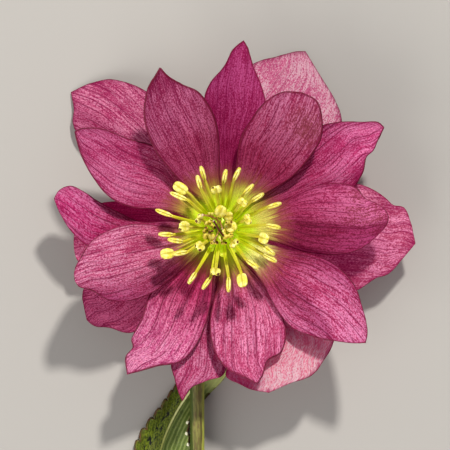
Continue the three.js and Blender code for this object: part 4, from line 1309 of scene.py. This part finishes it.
def buildBractMaterial():
    # side is below 0 on the leaf's mottled left half and above 0 on its paler, striped right half
    settings = bractSettings
    material, tree = newMaterial("leafSkin")
    margin = readMark(tree, "margin")
    along = axisOf(readBlade(tree), "X") * settings["bladeScale"]
    side = (axisOf(readBlade(tree), "Y") - 0.5) * settings["bladeScale"]
    off = calc("ABSOLUTE", side)
    place = addNode(tree, "CombineXYZ", {0: along, 1: side})
    grain = cloud(place, (2.4, 2.8, 1), 2, 0.6)
    mottle = cloud(place, (0.25, 0.4, 1))
    bend = (cloud(place, (0.3, 0.3, 1), 1) - 0.5) * 2.0
    veins = fade(calc("PINGPONG", along - off * 2.4 + bend, 1.3), 0.05, 0.5, 1.0, 0.0)
    stripes = fade(calc("PINGPONG", side + bend * 0.25, 0.42), 0.12, 0.40)
    rightHalf = coat(
        blend(stripes, srgb(84, 102, 36), srgb(138, 150, 86)),
        (grain * 0.5, srgb(72, 88, 26)),
    )
    flecks = fade(cloud(place, (0.7, 1.5, 1), 1), 0.56, 0.60) * fade(side, -0.9, -0.5, 1.0, 0.25)
    flecks *= fade(margin, 1.5, 2.0) * fade(margin, 3.0, 3.6, 1.0, 0.0)
    rim = fade(margin, 0.08, 0.24, 0.9, 0.0) * fade(grain, 0.4, 0.55, 0.3, 1.0)
    # painted light: pale spots at the notches beside the stem, where lit floor would show between the teeth
    paintedNotchLight = fade(calc("PINGPONG", along, settings["toothLength"] / 2), 0.16, 0.30, 1.0, 0.0)
    paintedNotchLight *= fade(margin, 0.26, 0.38, 1.0, 0.0) * fade(side, 1.8, 2.4) * fade(along, 37.0, 38.0, 1.0, 0.0)
    ribColour = blend(fade(along, 26, 42), srgb(158, 160, 84), srgb(236, 238, 176))
    colour = coat(
        blend(fade(grain, 0.38, 0.62), srgb(64, 78, 6), srgb(112, 124, 26)),
        (fade(mottle, 0.45, 0.65, 0.0, 0.35), srgb(74, 66, 20)),
        (veins * 0.16, srgb(130, 146, 64)),
        (fade(side, -0.3, 0.5, 0.0, 0.85), rightHalf),
        # painted light on the tip, which lies in the flower's shadow
        (fade(along, 41, 46, 0.0, 0.55), srgb(200, 210, 134)),
        (flecks, srgb(12, 16, 4)),
        (rim, srgb(92, 48, 30)),
        (paintedNotchLight, srgb(226, 222, 196)),
        (fade(off, 0.07, 0.20, 1.0, 0.0), ribColour),
    )
    ridges = blend(fade(side, -0.3, 0.5), veins, stripes * -0.5)
    tipGlow = fade(along, 41, 45)  # painted glow on the thin tip, which lies in the flower's shadow
    inputs = {
        "Base Color": colour,
        "Roughness": fade(grain, 0.3, 0.7, 0.42, 0.58),
        "Emission Color": blend(tipGlow, srgb(0, 0, 0), (0.07, 0.075, 0.03, 1.0)),
        "Emission Strength": 1.0,
    }
    return finishMaterial(material, inputs, grain * 0.6 - ridges * 0.3, 0.14 * mm)


addCamera()
addLights()
addFloor()
petalSkin = buildPetalSkin()
for entry in sepals:
    sepal = {**sepalDefaults, **entry}
    addSepal(sepal, buildSepalMaterial(sepal, petalSkin))
print("sepals:", len(sepals))
addStamens()
addNectaries()
addPistil()
print("stamens, nectaries and pistil done")
addStem()
addBract()
print("stem and bract done")
